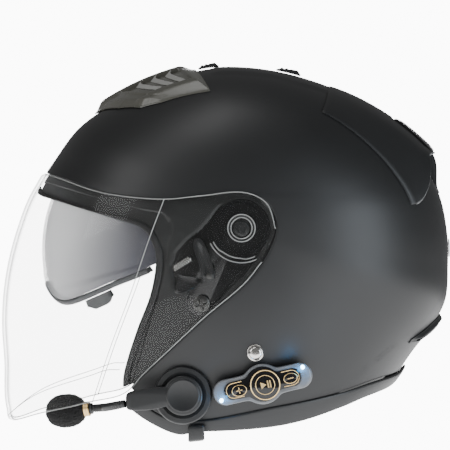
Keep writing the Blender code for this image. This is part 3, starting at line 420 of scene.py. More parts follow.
def round_the_clock(knots):
    """Closed smooth curve value(angle): cubic Hermite pieces with slopes from the neighbours."""
    angle, value = np.array(knots, float).T
    angle = np.concatenate([angle[-2:] - 360, angle, angle[:2] + 360])
    value = np.concatenate([value[-2:], value, value[:2]])
    slope = np.gradient(value, angle)

    def curve(at):
        at = np.mod(at, 360.0)
        i = np.clip(np.searchsorted(angle, at, side="right") - 1, 0, len(angle) - 2)
        span = angle[i + 1] - angle[i]
        t = (at - angle[i]) / span
        ends = value[i] * (1 + 2 * t) * (1 - t) ** 2 + value[i + 1] * t * t * (3 - 2 * t)
        return ends + span * t * (1 - t) * (slope[i] * (1 - t) - slope[i + 1] * t)

    return curve


shell_radius = round_the_clock(SHELL_PROFILE)
shield_radius = round_the_clock(SHIELD_PROFILE)


def clock_angle(y, z):
    """Angle from the front, upwards, in degrees."""
    return np.degrees(np.arctan2(z, -y))


def whole_turn(count):
    """count angles evenly round a circle, in radians."""
    return np.linspace(0, 2 * np.pi, count, endpoint=False)


def unit(vectors):
    return vectors / np.linalg.norm(vectors, axis=-1, keepdims=True)


def smooth(low, high, value):
    """0 up to low, 1 from high, 3t^2 - 2t^3 between."""
    t = np.clip((value - low) / (high - low), 0, 1)
    return t * t * (3 - 2 * t)


def reach(way, radius=shell_radius, half_width=HALF_WIDTH):
    """Distance along unit directions to (|x|/w)^n + (r/R)^n = 1."""
    x, y, z = np.moveaxis(way, -1, 0)
    around = np.hypot(y, z) / radius(clock_angle(y, z))
    return ((np.abs(x) / half_width) ** POWER + around**POWER) ** (-1 / POWER)


def side_x(y, z, radius=shell_radius, half_width=HALF_WIDTH):
    """Half-width of the surface at a place seen from the side."""
    k = np.hypot(y, z) / radius(clock_angle(y, z))
    return half_width * np.maximum(1 - k**POWER, 0) ** (1 / POWER)


def on_shell(way, offset=0.0):
    """Unit directions put on the shell, or an offset away from it."""
    return way * (reach(way) + offset)[..., None]


def over(x, angle, height):
    """Place over the crown, by distance from the middle plane, clock angle and height."""
    r = shell_radius(angle) * np.maximum(1 - (np.abs(x) / HALF_WIDTH) ** POWER, 0) ** (1 / POWER)
    turn, tall = np.radians(angle), r + height
    return np.stack([x + 0 * tall, -tall * np.cos(turn), tall * np.sin(turn)], -1)


def beside(side, radius=shell_radius, half_width=HALF_WIDTH):
    """Puts (Y, Z) and a height on the left side, 1, or the right, -1."""
    return lambda y, z, height: np.stack([side * (side_x(y, z, radius, half_width) + height), y, z], -1)


def level(side, x):
    """Puts (Y, Z) in a plane across the axle, at x plus the height."""
    return lambda y, z, height: np.stack([side * (x + height) + 0 * y, y, z], -1)


def spline(points, count):
    """count places evenly spread along a Catmull-Rom curve through the points."""
    points = np.array(points, float)
    ends = np.concatenate([[2 * points[0] - points[1]], points, [2 * points[-1] - points[-2]]])
    t = np.linspace(0, 1, 40, endpoint=False)[:, None]
    pieces = [
        0.5 * (2 * b + (c - a) * t + (2 * a - 5 * b + 4 * c - d) * t**2 + (3 * b - a - 3 * c + d) * t**3)
        for a, b, c, d in zip(ends, ends[1:], ends[2:], ends[3:])
    ]
    dense = np.concatenate(pieces + [points[-1:]])
    walked = np.concatenate([[0], np.cumsum(np.linalg.norm(np.diff(dense, axis=0), axis=1))])
    at = np.linspace(0, walked[-1], count)
    return np.stack([np.interp(at, walked, column) for column in dense.T], 1)


def loop(points, count):
    """A closed spline: the first place isn't repeated at its end."""
    points = np.array(points, float)
    return spline(np.concatenate([points, points[:1]]), count + 1)[:-1]


def edge_points(outline, count, first=False, last=False, radius=shell_radius, half_width=HALF_WIDTH):
    """An outline seen from the side, put on the surface; an end can lie in the middle plane."""
    y, z = np.array(outline, float).T
    x = side_x(y, z, radius, half_width)
    if first:
        x[0] = 0
    if last:
        x[-1] = 0
    return spline(np.stack([x, y, z], 1), count)


def both_sides(front_half, rear_half):
    """The left side's two stretches made one closed loop."""
    left = np.concatenate([front_half, rear_half[1:]])
    return np.concatenate([left, left[-2:0:-1] * (-1, 1, 1)])


def swing(start, end, share):
    """Directions part of the way along the great circle from start to end."""
    angle = np.arccos(np.clip((start * end).sum(-1, keepdims=True), -1, 1))
    return (np.sin((1 - share) * angle) * start + np.sin(share * angle) * end) / np.sin(angle)


def inside_by(y, z, outline):
    """Signed distance to a closed outline in the side view: positive inside it."""
    corners = np.array(outline, float)
    nearest = np.full(np.shape(y), 1e9)
    odd = np.zeros(np.shape(y), bool)
    for (y0, z0), (y1, z1) in zip(corners, np.roll(corners, -1, 0)):
        dy, dz = y1 - y0, z1 - z0
        t = np.clip(((y - y0) * dy + (z - z0) * dz) / (dy * dy + dz * dz), 0, 1)
        nearest = np.minimum(nearest, np.hypot(y - y0 - t * dy, z - z0 - t * dz))
        crosses = ((z0 > z) != (z1 > z)) & (y < y0 + (z - z0) * dy / (dz if dz else 1e-9))
        odd ^= crosses
    return np.where(odd, nearest, -nearest)


# %% Meshes from points
def new_piece(name, points, faces, material, body="helmet", replaces=None, slot=None, sharp=38):
    """A piece stands for the node of its own name unless it says otherwise."""
    points = np.ascontiguousarray(points, float).reshape(-1, 3) * 0.001
    faces = [np.asarray(face) for face in faces]
    sizes = np.concatenate([np.full(len(f), f.shape[1]) if f.ndim == 2 else [len(f)] for f in faces])
    corners = np.concatenate([f.reshape(-1) for f in faces]).astype(np.int32)
    mesh = bpy.data.meshes.new(name)
    mesh.vertices.add(len(points))
    mesh.vertices.foreach_set("co", points.reshape(-1))
    mesh.loops.add(len(corners))
    mesh.loops.foreach_set("vertex_index", corners)
    mesh.polygons.add(len(sizes))
    mesh.polygons.foreach_set("loop_start", np.concatenate([[0], np.cumsum(sizes)[:-1]]).astype(np.int32))
    mesh.update(calc_edges=True)
    shape = bmesh.new()
    shape.from_mesh(mesh)
    bmesh.ops.remove_doubles(shape, verts=shape.verts, dist=2e-6)
    bmesh.ops.recalc_face_normals(shape, faces=shape.faces)
    shape.to_mesh(mesh)
    shape.free()
    mesh.shade_smooth()
    mesh.set_sharp_from_angle(angle=np.radians(sharp))
    mesh.materials.append(material)
    piece = add(name, mesh)
    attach(piece, body)
    if replaces or (replaces is None and name in frame["nodes"]):
        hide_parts(*(replaces or [name]))
    print(f"{name}: {len(sizes)} faces, rides on {body}")
    return piece


def grid_quads(across, along, wrap=False, keep=None, start=0):
    """Corner numbers of the cells of a grid of points, as an array with four columns."""
    number = np.arange(across * along).reshape(across, along) + start
    if wrap:
        number = np.concatenate([number, number[:1]])
    cells = np.stack([number[:-1, :-1], number[1:, :-1], number[1:, 1:], number[:-1, 1:]], -1)
    return cells[keep] if keep is not None else cells.reshape(-1, 4)


def thick_sheet(name, outer, inner, material, body="helmet", wrap=False, keep=None, **more):
    """Two matching grids of points joined round their free edges into one closed sheet."""
    across, along = outer.shape[:2]
    count = across * along
    if keep is None:
        keep = np.ones((across - (not wrap), along - 1), bool)
    front = grid_quads(across, along, wrap, keep)
    number = np.arange(count).reshape(across, along)
    ring = np.concatenate([number, number[:1]]) if wrap else number
    framed = np.pad(keep, ((0, 0), (1, 1)))
    sides = np.concatenate([keep[-1:], keep, keep[:1]]) if wrap else np.pad(keep, ((1, 1), (0, 0)))
    edges = []
    for j, other in ((0, framed[:, :-2]), (1, framed[:, 2:])):
        i, k = np.nonzero(keep & ~other)
        pair = (ring[i, k + j], ring[i + 1, k + j])
        edges.append(np.stack(pair if j else pair[::-1], -1))
    for j, other in ((0, sides[:-2]), (1, sides[2:])):
        i, k = np.nonzero(keep & ~other)
        pair = (ring[i + j, k + 1], ring[i + j, k])
        edges.append(np.stack(pair[::-1] if j else pair, -1))
    rim = np.concatenate(edges)
    walls = np.column_stack([rim[:, 0], rim[:, 1], rim[:, 1] + count, rim[:, 0] + count])
    points = np.concatenate([outer.reshape(-1, 3), inner.reshape(-1, 3)])
    return new_piece(name, points, [front, front[:, ::-1] + count, walls], material, body, **more)


def lofted(name, rings, material, body="helmet", closed=False, **more):
    """Rings of points joined in turn, with the two ends capped unless the loft is closed."""
    rings = np.array(rings, float)
    count, sides = rings.shape[:2]
    if closed:
        rings = np.concatenate([rings, rings[:1]])
        count += 1
    quads = grid_quads(sides, count, wrap=True)
    points = rings.transpose(1, 0, 2)
    caps = [] if closed else [np.arange(sides) * count, np.arange(sides)[::-1] * count + count - 1]
    return new_piece(name, points, [quads, *caps], material, body, **more)


def relief(name, centre, outline, profile, place, material, body="helmet", **more):
    """A raised piece: the outline at each scale and height of the profile, put on a surface."""
    rings = []
    for scale, height in profile:
        flat = np.asarray(centre) + scale * np.asarray(outline)
        rings.append(place(flat[:, 0], flat[:, 1], height))
    return lofted(name, rings, material, body, **more)


def bar(name, path, radius, material, body="helmet", sides=16, **more):
    """A round bar along a path: the section turns as little as it can from point to point."""
    path = np.array(path, float)
    ahead = unit(np.gradient(path, axis=0))
    normal = unit(np.cross(ahead[0], (0.31, 0.2, 0.93)))
    turn = whole_turn(sides)[:, None]
    rings = []
    for point, tangent, size in zip(path, ahead, np.broadcast_to(radius, len(path))):
        normal = unit(normal - tangent * (normal @ tangent))
        rings.append(point + size * (np.cos(turn) * normal + np.sin(turn) * np.cross(tangent, normal)))
    return lofted(name, rings, material, body, **more)


def circle(radius, sides=64, stretch=1.0):
    """A circle, or an ellipse when it is stretched along Y."""
    turn = whole_turn(sides)
    return np.stack([radius * stretch * np.cos(turn), radius * np.sin(turn)], 1)

# %% [markdown]
# ## The shell
# A moulded shell is one thin wall. It is drawn here as two bodies that meet at the step of
# the shield's seat: the crown, swung out from a pole at the back of the head to the seam,
# and the sunken band between the seam and the face opening. A polar net needs no patching
# where the top, the sides and the nape meet, and its rows can crowd together at the step.

# %% Net of the shell
FRONT_COLUMNS, REAR_COLUMNS = 210, 70
REAR_POLE = np.array((0.0, 1.0, 0.0))


def recess_depth(way):
    """Depth of the shield's seat: shallow over the brow and deeper at the sides."""
    side = np.abs(on_shell(way)[..., 0]) / HALF_WIDTH
    return RECESS_BROW + (RECESS_SIDE - RECESS_BROW) * smooth(0.45, 0.85, side)


def seam_and_edge():
    """Directions to the step and trim seam, and to the shell's free edge, round the face."""
    seam = both_sides(edge_points(RECESS_EDGE, FRONT_COLUMNS + 1, first=True),
                      edge_points(TRIM_SEAM, REAR_COLUMNS + 1, last=True))
    edge = both_sides(edge_points(EYEPORT_EDGE, FRONT_COLUMNS + 1, first=True),
                      edge_points(LOWER_EDGE, REAR_COLUMNS + 1, last=True))
    return unit(seam), unit(edge)


SEAM, EDGE = seam_and_edge()
COLUMNS = len(SEAM)
nearest_middle = np.minimum(np.arange(COLUMNS), COLUMNS - np.arange(COLUMNS))
BESIDE_FACE = nearest_middle <= FRONT_COLUMNS
DEPTH = np.where(BESIDE_FACE, recess_depth(SEAM), 0.0)


def crown_swell(point):
    """Moulded relief of the crown: the raised band that the crest vents sit in."""
    x, y, z = np.moveaxis(point, -1, 0)
    clock = clock_angle(y, z)
    return 0.8 * smooth(48, 45.5, np.abs(x)) * smooth(79, 81.5, clock) * smooth(125, 122, clock)


def crown():
    """The crown: great circles from the rear pole to the seam, then a rounded step down."""
    arc = 140 * np.arccos(np.clip(SEAM @ REAR_POLE, -1, 1))
    steps = [(share, None, 0.0) for share in np.linspace(0, 0.94, 62)]
    steps += [(None, back, sink) for back, sink in
              ((6, 0.0), (3.2, 0.0), (1.6, 0.02), (0.9, 0.14), (0.4, 0.4), (0.1, 0.8), (0.0, 1.2))]
    outer, inner = [], []
    for share, back, sink in steps:
        part = np.full(COLUMNS, share) if back is None else 1 - back / arc
        way = swing(REAR_POLE, SEAM, np.minimum(part, 1.0)[:, None])
        rounded = np.where(BESIDE_FACE, sink, sink * 0.5)
        outer.append(on_shell(way, crown_swell(on_shell(way)) - rounded))
        inner.append(on_shell(way, -WALL - (0 if back is None or back > 4 else DEPTH * 0.9)))
    foot = on_shell(SEAM, -DEPTH - WALL * 0.5)
    outer.append(foot)
    inner.append(on_shell(SEAM, -WALL - DEPTH * 0.9 - 0.2))
    thick_sheet("shell_crown", np.stack(outer, 1), np.stack(inner, 1), SHELL_BLACK, wrap=True,
                replaces=["outer_shell"], sharp=50)


crown()
print("columns round the shell:", COLUMNS)

# %% [markdown]
# The seat of the shield is a band let into the shell. Over the brow it has a second, lower
# ledge that the shield's top edge closes on, and at the ears a pocket holds the ratchet. Both
# are drawn by a signed distance in the side view, so their edges stay crisp across the net.

# %% Seat of the shield
BAY = (
    (-49.6, -27.6), (-46.5, -17.0), (-39.0, -8.5), (-30.5, -2.5), (-24.0, 4.5), (-16.0, 15.0),
    (0.0, 20.5), (14.5, 13.5), (19.5, 0.0), (12.0, -19.5), (0.0, -35.0), (-11.0, -45.0),
    (-19.5, -54.5), (-27.5, -60.0), (-35.0, -56.0), (-34.0, -46.0), (-40.0, -43.0), (-47.0, -40.0),
)
LEDGE = (
    (-150.0, 33.0), (-136.5, 32.0), (-114.0, 25.0), (-87.5, 17.5), (-70.0, 13.2), (-56.0, 11.0),
    (-50.5, 5.0), (-50.0, -6.0), (-54.0, -22.0), (-60.0, -50.0), (-78.0, -112.0), (-200.0, -112.0),
)


def shield_seat():
    """The seat: straight blends from seam to edge, sunk by its depth, ledge and pocket."""
    front = np.r_[COLUMNS - FRONT_COLUMNS:COLUMNS, 0:FRONT_COLUMNS + 1]
    seam, edge, depth = SEAM[front], EDGE[front], DEPTH[front]
    outer, inner = [], []
    for share in np.concatenate([[0.0, 0.004, 0.012], np.linspace(0.03, 1, 52)]):
        way = unit(seam + share * (edge - seam))
        skin = on_shell(way)
        fillet = 0.9 * smooth(0.012, 0.0, share)
        ledge = 0.9 * smooth(-0.5, 0.5, inside_by(skin[:, 1], skin[:, 2], LEDGE))
        bay = 2.0 * smooth(-0.4, 0.5, inside_by(skin[:, 1], skin[:, 2], BAY))
        outer.append(on_shell(way, fillet - depth - ledge - bay))
        inner.append(on_shell(way, -depth - WALL))
    outer, inner = np.stack(outer, 1), np.stack(inner, 1)
    thick_sheet("shield_seat", outer, inner, RECESS_BLACK, sharp=50, replaces=["outer_shell"])


shield_seat()


# %% Trims round the two openings
def edge_band(name, columns, section, material, node):
    """A strip along the shell's edge: section gives (share from seam to edge, height) for a gap."""
    rings = []
    for column in columns:
        seam_way, edge_way = SEAM[column], EDGE[column]
        gap = np.linalg.norm(on_shell(edge_way[None]) - on_shell(seam_way[None]))
        rings.append([
            on_shell(unit(seam_way + share * (edge_way - seam_way))[None], height - DEPTH[column])[0]
            for share, height in section(gap)])
    lofted(name, rings, material, replaces=[node])


def rounded(section):
    """Cuts each corner of a closed section with a short curve: Chaikin's rule, twice."""
    section = np.array(section, float)
    for _ in range(2):
        ahead = np.roll(section, -1, 0)
        section = np.stack([section * 0.8 + ahead * 0.2, section * 0.2 + ahead * 0.8], 1).reshape(-1, 2)
    return section


def trims():
    """A soft lip round the face, by millimetres beyond the edge, and a moulding round the neck."""
    lip = rounded(((-3.4, 0.3), (-3.4, 1.3), (1.0, 1.5), (2.6, -1.6), (1.0, -5.6), (-3.0, -5.4),
                   (-3.0, -4.5), (0.4, -4.5), (0.4, 0.3)))

    def moulding(gap):
        stop = 1 + 3.2 / gap
        return rounded(((0.01, 0.3), (0.01, 1.5), (0.12, 2.1), (0.5, 2.6), (stop, 2.1),
                        (stop + 0.12, -1.5), (stop, -6.5), (stop - 0.16, -5.0), (stop - 0.18, 0.5)))

    edge_band("eyeport_lip", range(-FRONT_COLUMNS + 1, FRONT_COLUMNS),
              lambda gap: [(1 + beyond / max(gap, 3.0), height) for beyond, height in lip],
              RUBBER, "eyeport_trim")
    edge_band("lower_moulding", range(FRONT_COLUMNS + 3, COLUMNS - FRONT_COLUMNS - 2), moulding,
              TRIM_BLACK, "lower_edge_trim")


trims()

# %% [markdown]
# ## The clear shield and the sun lens
# The shield's net is ruled between its top edge and its foot, so it keeps the flat fall that
# a thermoformed sheet has. Two soft creases stiffen it: one down each cheek, one over the
# foot. Its polished edges and the lines of its creases are thin light bars, painted highlights,
# because an edge of a clear sheet is seen as a line of light and hardly at all as a surface.
# The smoked lens inside turns on its own axle, so its shape is swept about that.

# %% Clear shield
SHIELD_TOP = (
    (-138.0, 38.2), (-125.0, 34.2), (-93.8, 23.8), (-56.7, 19.6), (-28.0, 21.7),
    (0.2, 24.2), (17.0, 16.6), (23.0, -0.6),
)
SHIELD_FOOT = (
    (-161.4, -131.5), (-142.1, -128.1), (-108.5, -119.7), (-80.5, -112.7), (-64.0, -96.5),
    (-28.0, -62.8), (0.2, -39.0), (13.6, -22.9), (23.0, -0.6),
)
CHEEK_CREASE = ((-40.0, 60.0), (-51.5, 19.6), (-61.6, -7.0), (-73.9, -42.7), (-88.3, -80.9),
                (-100.6, -117.6), (-106.0, -140.0), (-260.0, -140.0), (-260.0, 60.0))
FOOT_CREASE = ((-175.0, -128.0), (-157.5, -126.7), (-139.7, -113.2), (-97.3, -97.6), (-81.6, -94.8),
               (-60.0, -92.0), (-60.0, -160.0), (-175.0, -160.0))


def clear_shield():
    """The shield: straight blends from its top edge to its foot, put on its own surface."""
    inner_half = HALF_WIDTH + SHIELD_GAP
    top, foot = (edge_points(line, 121, first=True, radius=shield_radius, half_width=inner_half)
                 for line in (SHIELD_TOP, SHIELD_FOOT))
    top, foot = (unit(np.concatenate([line[::-1], line[1:] * (-1, 1, 1)])) for line in (top, foot))
    share = np.concatenate([[0.0, 0.004, 0.01], np.linspace(0.02, 0.98, 75), [0.99, 0.996, 1.0]])
    share = share[None, :, None]
    way = unit(top[:, None] * (1 - share) + foot[:, None] * share)
    inner = reach(way, shield_radius, inner_half)
    point = way * inner[..., None]
    crease = 0.8 * smooth(-2.0, 2.0, inside_by(point[..., 1], point[..., 2], CHEEK_CREASE))
    crease = crease + 0.9 * smooth(-2.0, 2.0, inside_by(point[..., 1], point[..., 2], FOOT_CREASE))
    ends = smooth(0.0, 0.012, share[..., 0]) * smooth(1.0, 0.99, share[..., 0])
    wall = 0.7 + (SHIELD_WALL - 0.7) * ends
    outer = way * (inner + wall + crease)[..., None]
    thick_sheet("clear_shield", outer, way * (inner + crease)[..., None], CLEAR, "shield",
                replaces=["visor"], sharp=60)


clear_shield()


def shield_line(name, line, count, out, radius, material):
    """A thin bead that follows a line of the side view over the shield, round the front."""
    half = edge_points(line, count, first=True, radius=shield_radius, half_width=HALF_WIDTH + SHIELD_GAP)
    way = unit(np.concatenate([half[::-1], half[1:] * (-1, 1, 1)]))
    path = way * (reach(way, shield_radius, HALF_WIDTH + SHIELD_GAP) + out)[:, None]
    bar(name, path, radius, material, "shield", sides=10)


def shield_lines():
    """The shield's polished edges and the moulded lines over its foot and cheeks, as thin light bars: painted
    highlights.
    """
    shield_line("shield_top_edge", SHIELD_TOP, 120, 1.1, 0.4, CLEAR_EDGE_PAINTED_HIGHLIGHT)
    shield_line("shield_foot_edge", SHIELD_FOOT[:-1], 120, 1.1, 0.42, CLEAR_EDGE_PAINTED_HIGHLIGHT)
    shield_line("shield_foot_crease", FOOT_CREASE[1:5], 80, 2.9, 0.3, CREASE_PAINTED_HIGHLIGHT)
    for side, name in SIDES:
        line = spline(CHEEK_CREASE[1:6], 90)
        x = side_x(line[:, 0], line[:, 1], shield_radius, HALF_WIDTH + SHIELD_GAP)
        way = unit(np.stack([side * x, line[:, 0], line[:, 1]], 1))
        path = way * (reach(way, shield_radius, HALF_WIDTH + SHIELD_GAP) + 2.6)[:, None]
        bar(f"shield_cheek_crease_{name}", path, 0.3, CREASE_PAINTED_HIGHLIGHT, "shield", sides=10)


shield_lines()

# %% Sun lens with its rim, tab and pivots
SUN_RADIUS = SUN_HALF_WIDTH = 100.0
SUN_TOP, SUN_FOOT, NOSE_ARCH = 28.0, -24.0, 11.0


def sun_surface(slant, angle, out=0.0):
    """Place on the sun lens by slant, 0 in the middle and 90 at the axle, and angle about it."""
    radius = SUN_RADIUS + out
    slant, turn = np.radians(slant), np.radians(angle)
    from_axis = radius * np.cos(slant) ** (2 / POWER)
    x = (SUN_HALF_WIDTH + out) * np.sign(slant) * np.abs(np.sin(slant)) ** (2 / POWER)
    return np.stack([x + 0 * turn, SUN_PIVOT[0] - from_axis * np.cos(turn),
                     SUN_PIVOT[1] + from_axis * np.sin(turn)], -1)


def sun_foot(slant):
    """Angle of the lens's lower edge: arched over the nose by a bell curve."""
    return SUN_FOOT + NOSE_ARCH * np.exp(-((slant / 19.0) ** 2)) - 3.0 * smooth(60, 88, np.abs(slant))


def down(slant, distance):
    """Angle about the axle that goes a distance in millimetres down the lens."""
    return np.degrees(distance / (SUN_RADIUS * np.cos(np.radians(slant)) ** (2 / POWER)))


def sun_lens():
    """The lens, the rim along its foot, and a boss at each end of its axle."""
    slant = np.linspace(-88, 88, 141)[:, None]
    share = np.linspace(0, 1, 41)[None, :]
    angle = SUN_TOP * (1 - share) + sun_foot(slant) * share
    bevel = 0.5 * smooth(0.88, 0.91, share) * smooth(80, 70, np.abs(slant))
    thick_sheet("sun_lens", sun_surface(slant, angle, bevel), sun_surface(slant, angle, -2.0), SMOKE,
                "sun_lens", replaces=["sun_visor_lens"])
    slant = np.linspace(-77, 77, 121)
    section = rounded(((0.3, 0.6), (2.4, 1.0), (4.3, 0.4), (4.3, -3.2), (0.3, -2.2)))
    rings = np.stack([sun_surface(slant, sun_foot(slant) - down(slant, fall), out)
                      for fall, out in section], 1)
    lofted("sun_lens_rim", rings, RIM_GREY, "sun_lens", replaces=["sun_visor_rim"])
    for side, name in SIDES:
        relief(f"sun_lens_pivot_{name}", SUN_PIVOT, circle(5.5, 40), ((0.05, 0.3), (1.0, 0.3), (1.0, 2.0),
                (0.92, 2.6), (0.5, 2.8), (0.45, 2.3), (0.05, 2.3)), level(side, SUN_HALF_WIDTH),
               MECHANISM, "sun_lens", replaces=[f"sun_visor_pivot_{name}"])


def finger_tab():
    """A tab below the rim that drops furthest in its middle and curls outwards."""
    slant = np.linspace(43.5, 58.5, 31)[:, None]
    share = np.linspace(0, 1, 13)[None, :]
    drop = 4.7 + share * (4.6 + 3.6 * smooth(43.5, 48, slant) * smooth(58.5, 54, slant))
    angle = sun_foot(slant) - down(slant, drop)
    edge = np.minimum(np.minimum(slant - 43.5, 58.5 - slant) / 3, (1 - share) * 3)
    curl = 1.2 + 0.9 * share**2 - 0.7 * smooth(0.5, 0.0, edge)
    thick_sheet("sun_lens_tab", sun_surface(slant, angle, curl), sun_surface(slant, angle, -1.8),
                RIM_GREY, "sun_lens", replaces=["sun_visor_tab"])


sun_lens()
finger_tab()

# %% [markdown]
# ## Vents and spoiler
# The front vent is a bowed cover with two long ribs on each side; light louvre bars lie in
# the window between them. The spoiler is a deck that lifts off the crown towards the back,
# open underneath, with a thick blunt rear edge and a gloss insert in its middle.

# %% Front vent: cover, louvre bars and slider
VENT_HALF = 77.0
VENT_FRONT = ((0, 38.0), (20, 39.6), (51, 44.2), (69, 50.0), (74, 57.0), (77, 74.0))


def vent_angle(x, along):
    """Clock angle of the vent's net: 0 at its front edge and 1 at its rear edge."""
    front = np.interp(np.abs(x), *np.array(VENT_FRONT).T)
    rear = 73.6 + 3.6 * (x / VENT_HALF) ** 2
    return front * (1 - along) + rear * along


def front_vent():
    """The cover: a height over the crown, with a spine, two ribs and a window a side."""
    share = np.linspace(-1, 1, 241)
    x = (VENT_HALF * np.sign(share) * np.abs(share) ** 0.9)[:, None]
    along = np.concatenate([[0.0, 0.006, 0.015], np.linspace(0.03, 0.97, 93), [0.985, 0.994, 1.0]])[None, :]
    angle = vent_angle(x, along)
    x = x + 0 * angle
    wide = np.abs(x)
    edge = np.minimum(np.minimum(along, 1 - along) * 5, (1 - wide / VENT_HALF) * 7)
    spine = smooth(17.0, 8.0, wide)
    rib = smooth(61.0, 65.0, wide) * 0.8
    crown_line = 0.7 * smooth(0.9, 0.2, np.abs(wide - 67.5) / 6)
    height = 1.4 + (3.0 + 1.8 * spine + rib + crown_line) * smooth(0, 0.7, edge)
    in_window = smooth(12.4, 13.4, wide) * smooth(61.6, 60.6, wide) \
        * smooth(0.27, 0.285, along) * smooth(0.86, 0.84, along)
    floor = 2.4 + 0 * along
    height = height * (1 - in_window) + floor * in_window
    step = 0.9 * smooth(0.26, 0.22, along) * smooth(11.0, 15.0, wide) * smooth(0, 1, edge)
    under = np.minimum(0.5 + 2.0 * smooth(0.0, 0.5, edge), height - 0.5)
    thick_sheet("front_vent_shell", over(x, angle, height - step), over(x, angle, under), TAUPE,
                replaces=["front_vent_cover"], sharp=35)


def louvres():
    """Three light bars a side, each a thin blade that leans across the window."""
    points, quads = [], []
    for side in (1, -1):
        for place in (0.40, 0.55, 0.70):
            x = side * np.linspace(14.5, 59.5, 31)
            rings = []
            for forward, height in ((-0.028, 2.7), (0.022, 4.1), (0.034, 3.9), (-0.012, 2.5)):
                along = place + forward + 0.05 * ((np.abs(x) - 37) / 23) ** 2
                lift = height + 0.9 * smooth(26.0, 14.0, np.abs(x)) * (height > 3)
                rings.append(over(x, vent_angle(x, along), lift))
            rings = np.stack(rings, 1)
            base = sum(len(block) for block in points)
            grid = grid_quads(4, len(x), wrap=True, start=base)
            points.append(rings.transpose(1, 0, 2).reshape(-1, 3))
            quads.append(grid)
            ends = np.arange(4) * len(x) + base
            quads += [ends[None], ends[None, ::-1] + len(x) - 1]
    new_piece("front_vent_louvres", np.concatenate(points), quads, LOUVRE, "vent_slider",
              replaces=["front_vent_slider"])


front_vent()
louvres()


# %% Crest sliders
def crest_slider(name, body, first, last, foot):
    """A thumb slider: a wedge that rises towards its rear, with five grip waves."""
    x, share = np.meshgrid(np.linspace(-13, 13, 53), np.linspace(0, 1, 61), indexing="ij")
    angle = first + (last - first) * share
    edge = np.minimum(1 - np.abs(x) / 13.5, 1 - np.abs(2 * share - 1))
    grip = 0.35 * np.cos(share * 2 * np.pi * 5) * smooth(0.08, 0.2, share) * smooth(0.62, 0.5, share)
    rise = 2.4 * smooth(0, 0.4, edge) * (0.45 + 0.55 * share)
    height = foot + 0.6 + rise + grip * smooth(11, 9, np.abs(x))
    thick_sheet(name, over(x, angle, height), over(x, angle, foot), TRIM_BLACK, body, slot="dark_plastic")


crest_slider("crest_vent_tab_front", "crest_tab_front", 75.0, 82.2, 1.3)
crest_slider("crest_vent_tab_rear", "crest_tab_rear", 102.6, 111.3, 1.9)

# %% Rear spoiler
DECK_HALF = 80.0
INSERT_HALF, INSERT_FRONT, INSERT_REAR = 34.0, 0.62, 0.985    # the ends as shares of the deck


def deck_place(x, share):
    """Clock angle and height of the spoiler's top, by X and share from front to rear."""
    wide = np.abs(x) / DECK_HALF
    front = 121.5 + 3.2 * wide**2
    rear = 158.7 + 13.5 * smooth(0.55, 1.0, wide)
    angle = front + (rear - front) * share
    flank = 1 - smooth(0.62, 1.0, wide)
    height = 1.6 + (8.4 * share**1.3 + 1.0 * share) * flank + 1.4 * share
    return angle, height


def insert_spread(share):
    """The gloss insert widens towards the deck's rear edge."""
    return 0.8 + 0.2 * (share - INSERT_FRONT) / (INSERT_REAR - INSERT_FRONT)


def spoiler():
    """The deck, a light bar along its rear edge as a painted highlight where the edge catches light, and the
    ribbed gloss insert.
    """
    x = DECK_HALF * np.linspace(-1, 1, 221)[:, None]
    share = np.concatenate([[0.0, 0.005], np.linspace(0.012, 0.97, 90), [0.98, 0.988, 0.994, 0.998, 1.0]])
    share = share[None, :]
    angle, height = deck_place(x, share)
    x = x + 0 * angle
    side = 1 - np.abs(x) / DECK_HALF
    lip = 0.9 * smooth(0.9, 1.0, share) * smooth(0.0, 0.1, side)
    nose = 0.7 * smooth(0.03, 0.0, share) + 0.9 * smooth(0.02, 0.0, side) + 0.8 * smooth(0.992, 1.0, share)
    tray = 0.8 * smooth(36.5, 35.0, np.abs(x) / insert_spread(share)) * smooth(0.59, 0.61, share)
    border = smooth(0, 0.25, np.minimum(share * 1.6, side * 1.6))
    under = 0.4 + np.maximum(height - 2.9, 0.0) * border
    thick_sheet("rear_spoiler", over(x, angle, height + lip - nose - tray), over(x, angle, under),
                SHELL_BLACK, sharp=40)
    x = DECK_HALF * np.linspace(-0.97, 0.97, 161)
    angle, height = deck_place(x, 1.0)
    # painted highlight: light bar along the rear edge
    bar("spoiler_edge", over(x, angle, height - 0.4), 0.75, EDGE_PAINTED_HIGHLIGHT, sides=12)
    x = INSERT_HALF * np.linspace(-1, 1, 81)[:, None]
    share = np.linspace(INSERT_FRONT, INSERT_REAR, 41)[None, :]
    x = x * insert_spread(share)
    angle, height = deck_place(x, share)
    rim = np.minimum(np.minimum(share - INSERT_FRONT, INSERT_REAR - share) * 60,
                     (INSERT_HALF - np.abs(x)) * 0.6)
    ribs = 0.25 * np.cos(x * 2 * np.pi / 9.0) * smooth(1.5, 3.5, rim)
    thick_sheet("spoiler_insert", over(x, angle, height + 0.9 + 0.5 * smooth(0, 1.5, rim) + ribs),
                over(x, angle, height + 0.1), PIANO)


def exhaust_rib():
    """Upright web under the spoiler's middle that parts the two outlets."""
    rows = []
    for angle in np.linspace(150, 170, 31):
        tip = deck_place(0.0, min(1.0, (angle - 121.5) / 37.2))[1] - 1.6
        fall = 1.0 - smooth(158.7, 170.0, angle)
        rows.append((angle, max(0.6, tip * fall)))
    grid = np.array([[over(np.float64(-3.0), angle, height * s + 0.2) for s in (0.0, 0.34, 0.67, 1.0)]
                     for angle, height in rows])
    thick_sheet("spoiler_web", grid, grid * (-1, 1, 1), SHELL_BLACK)


spoiler()
exhaust_rib()


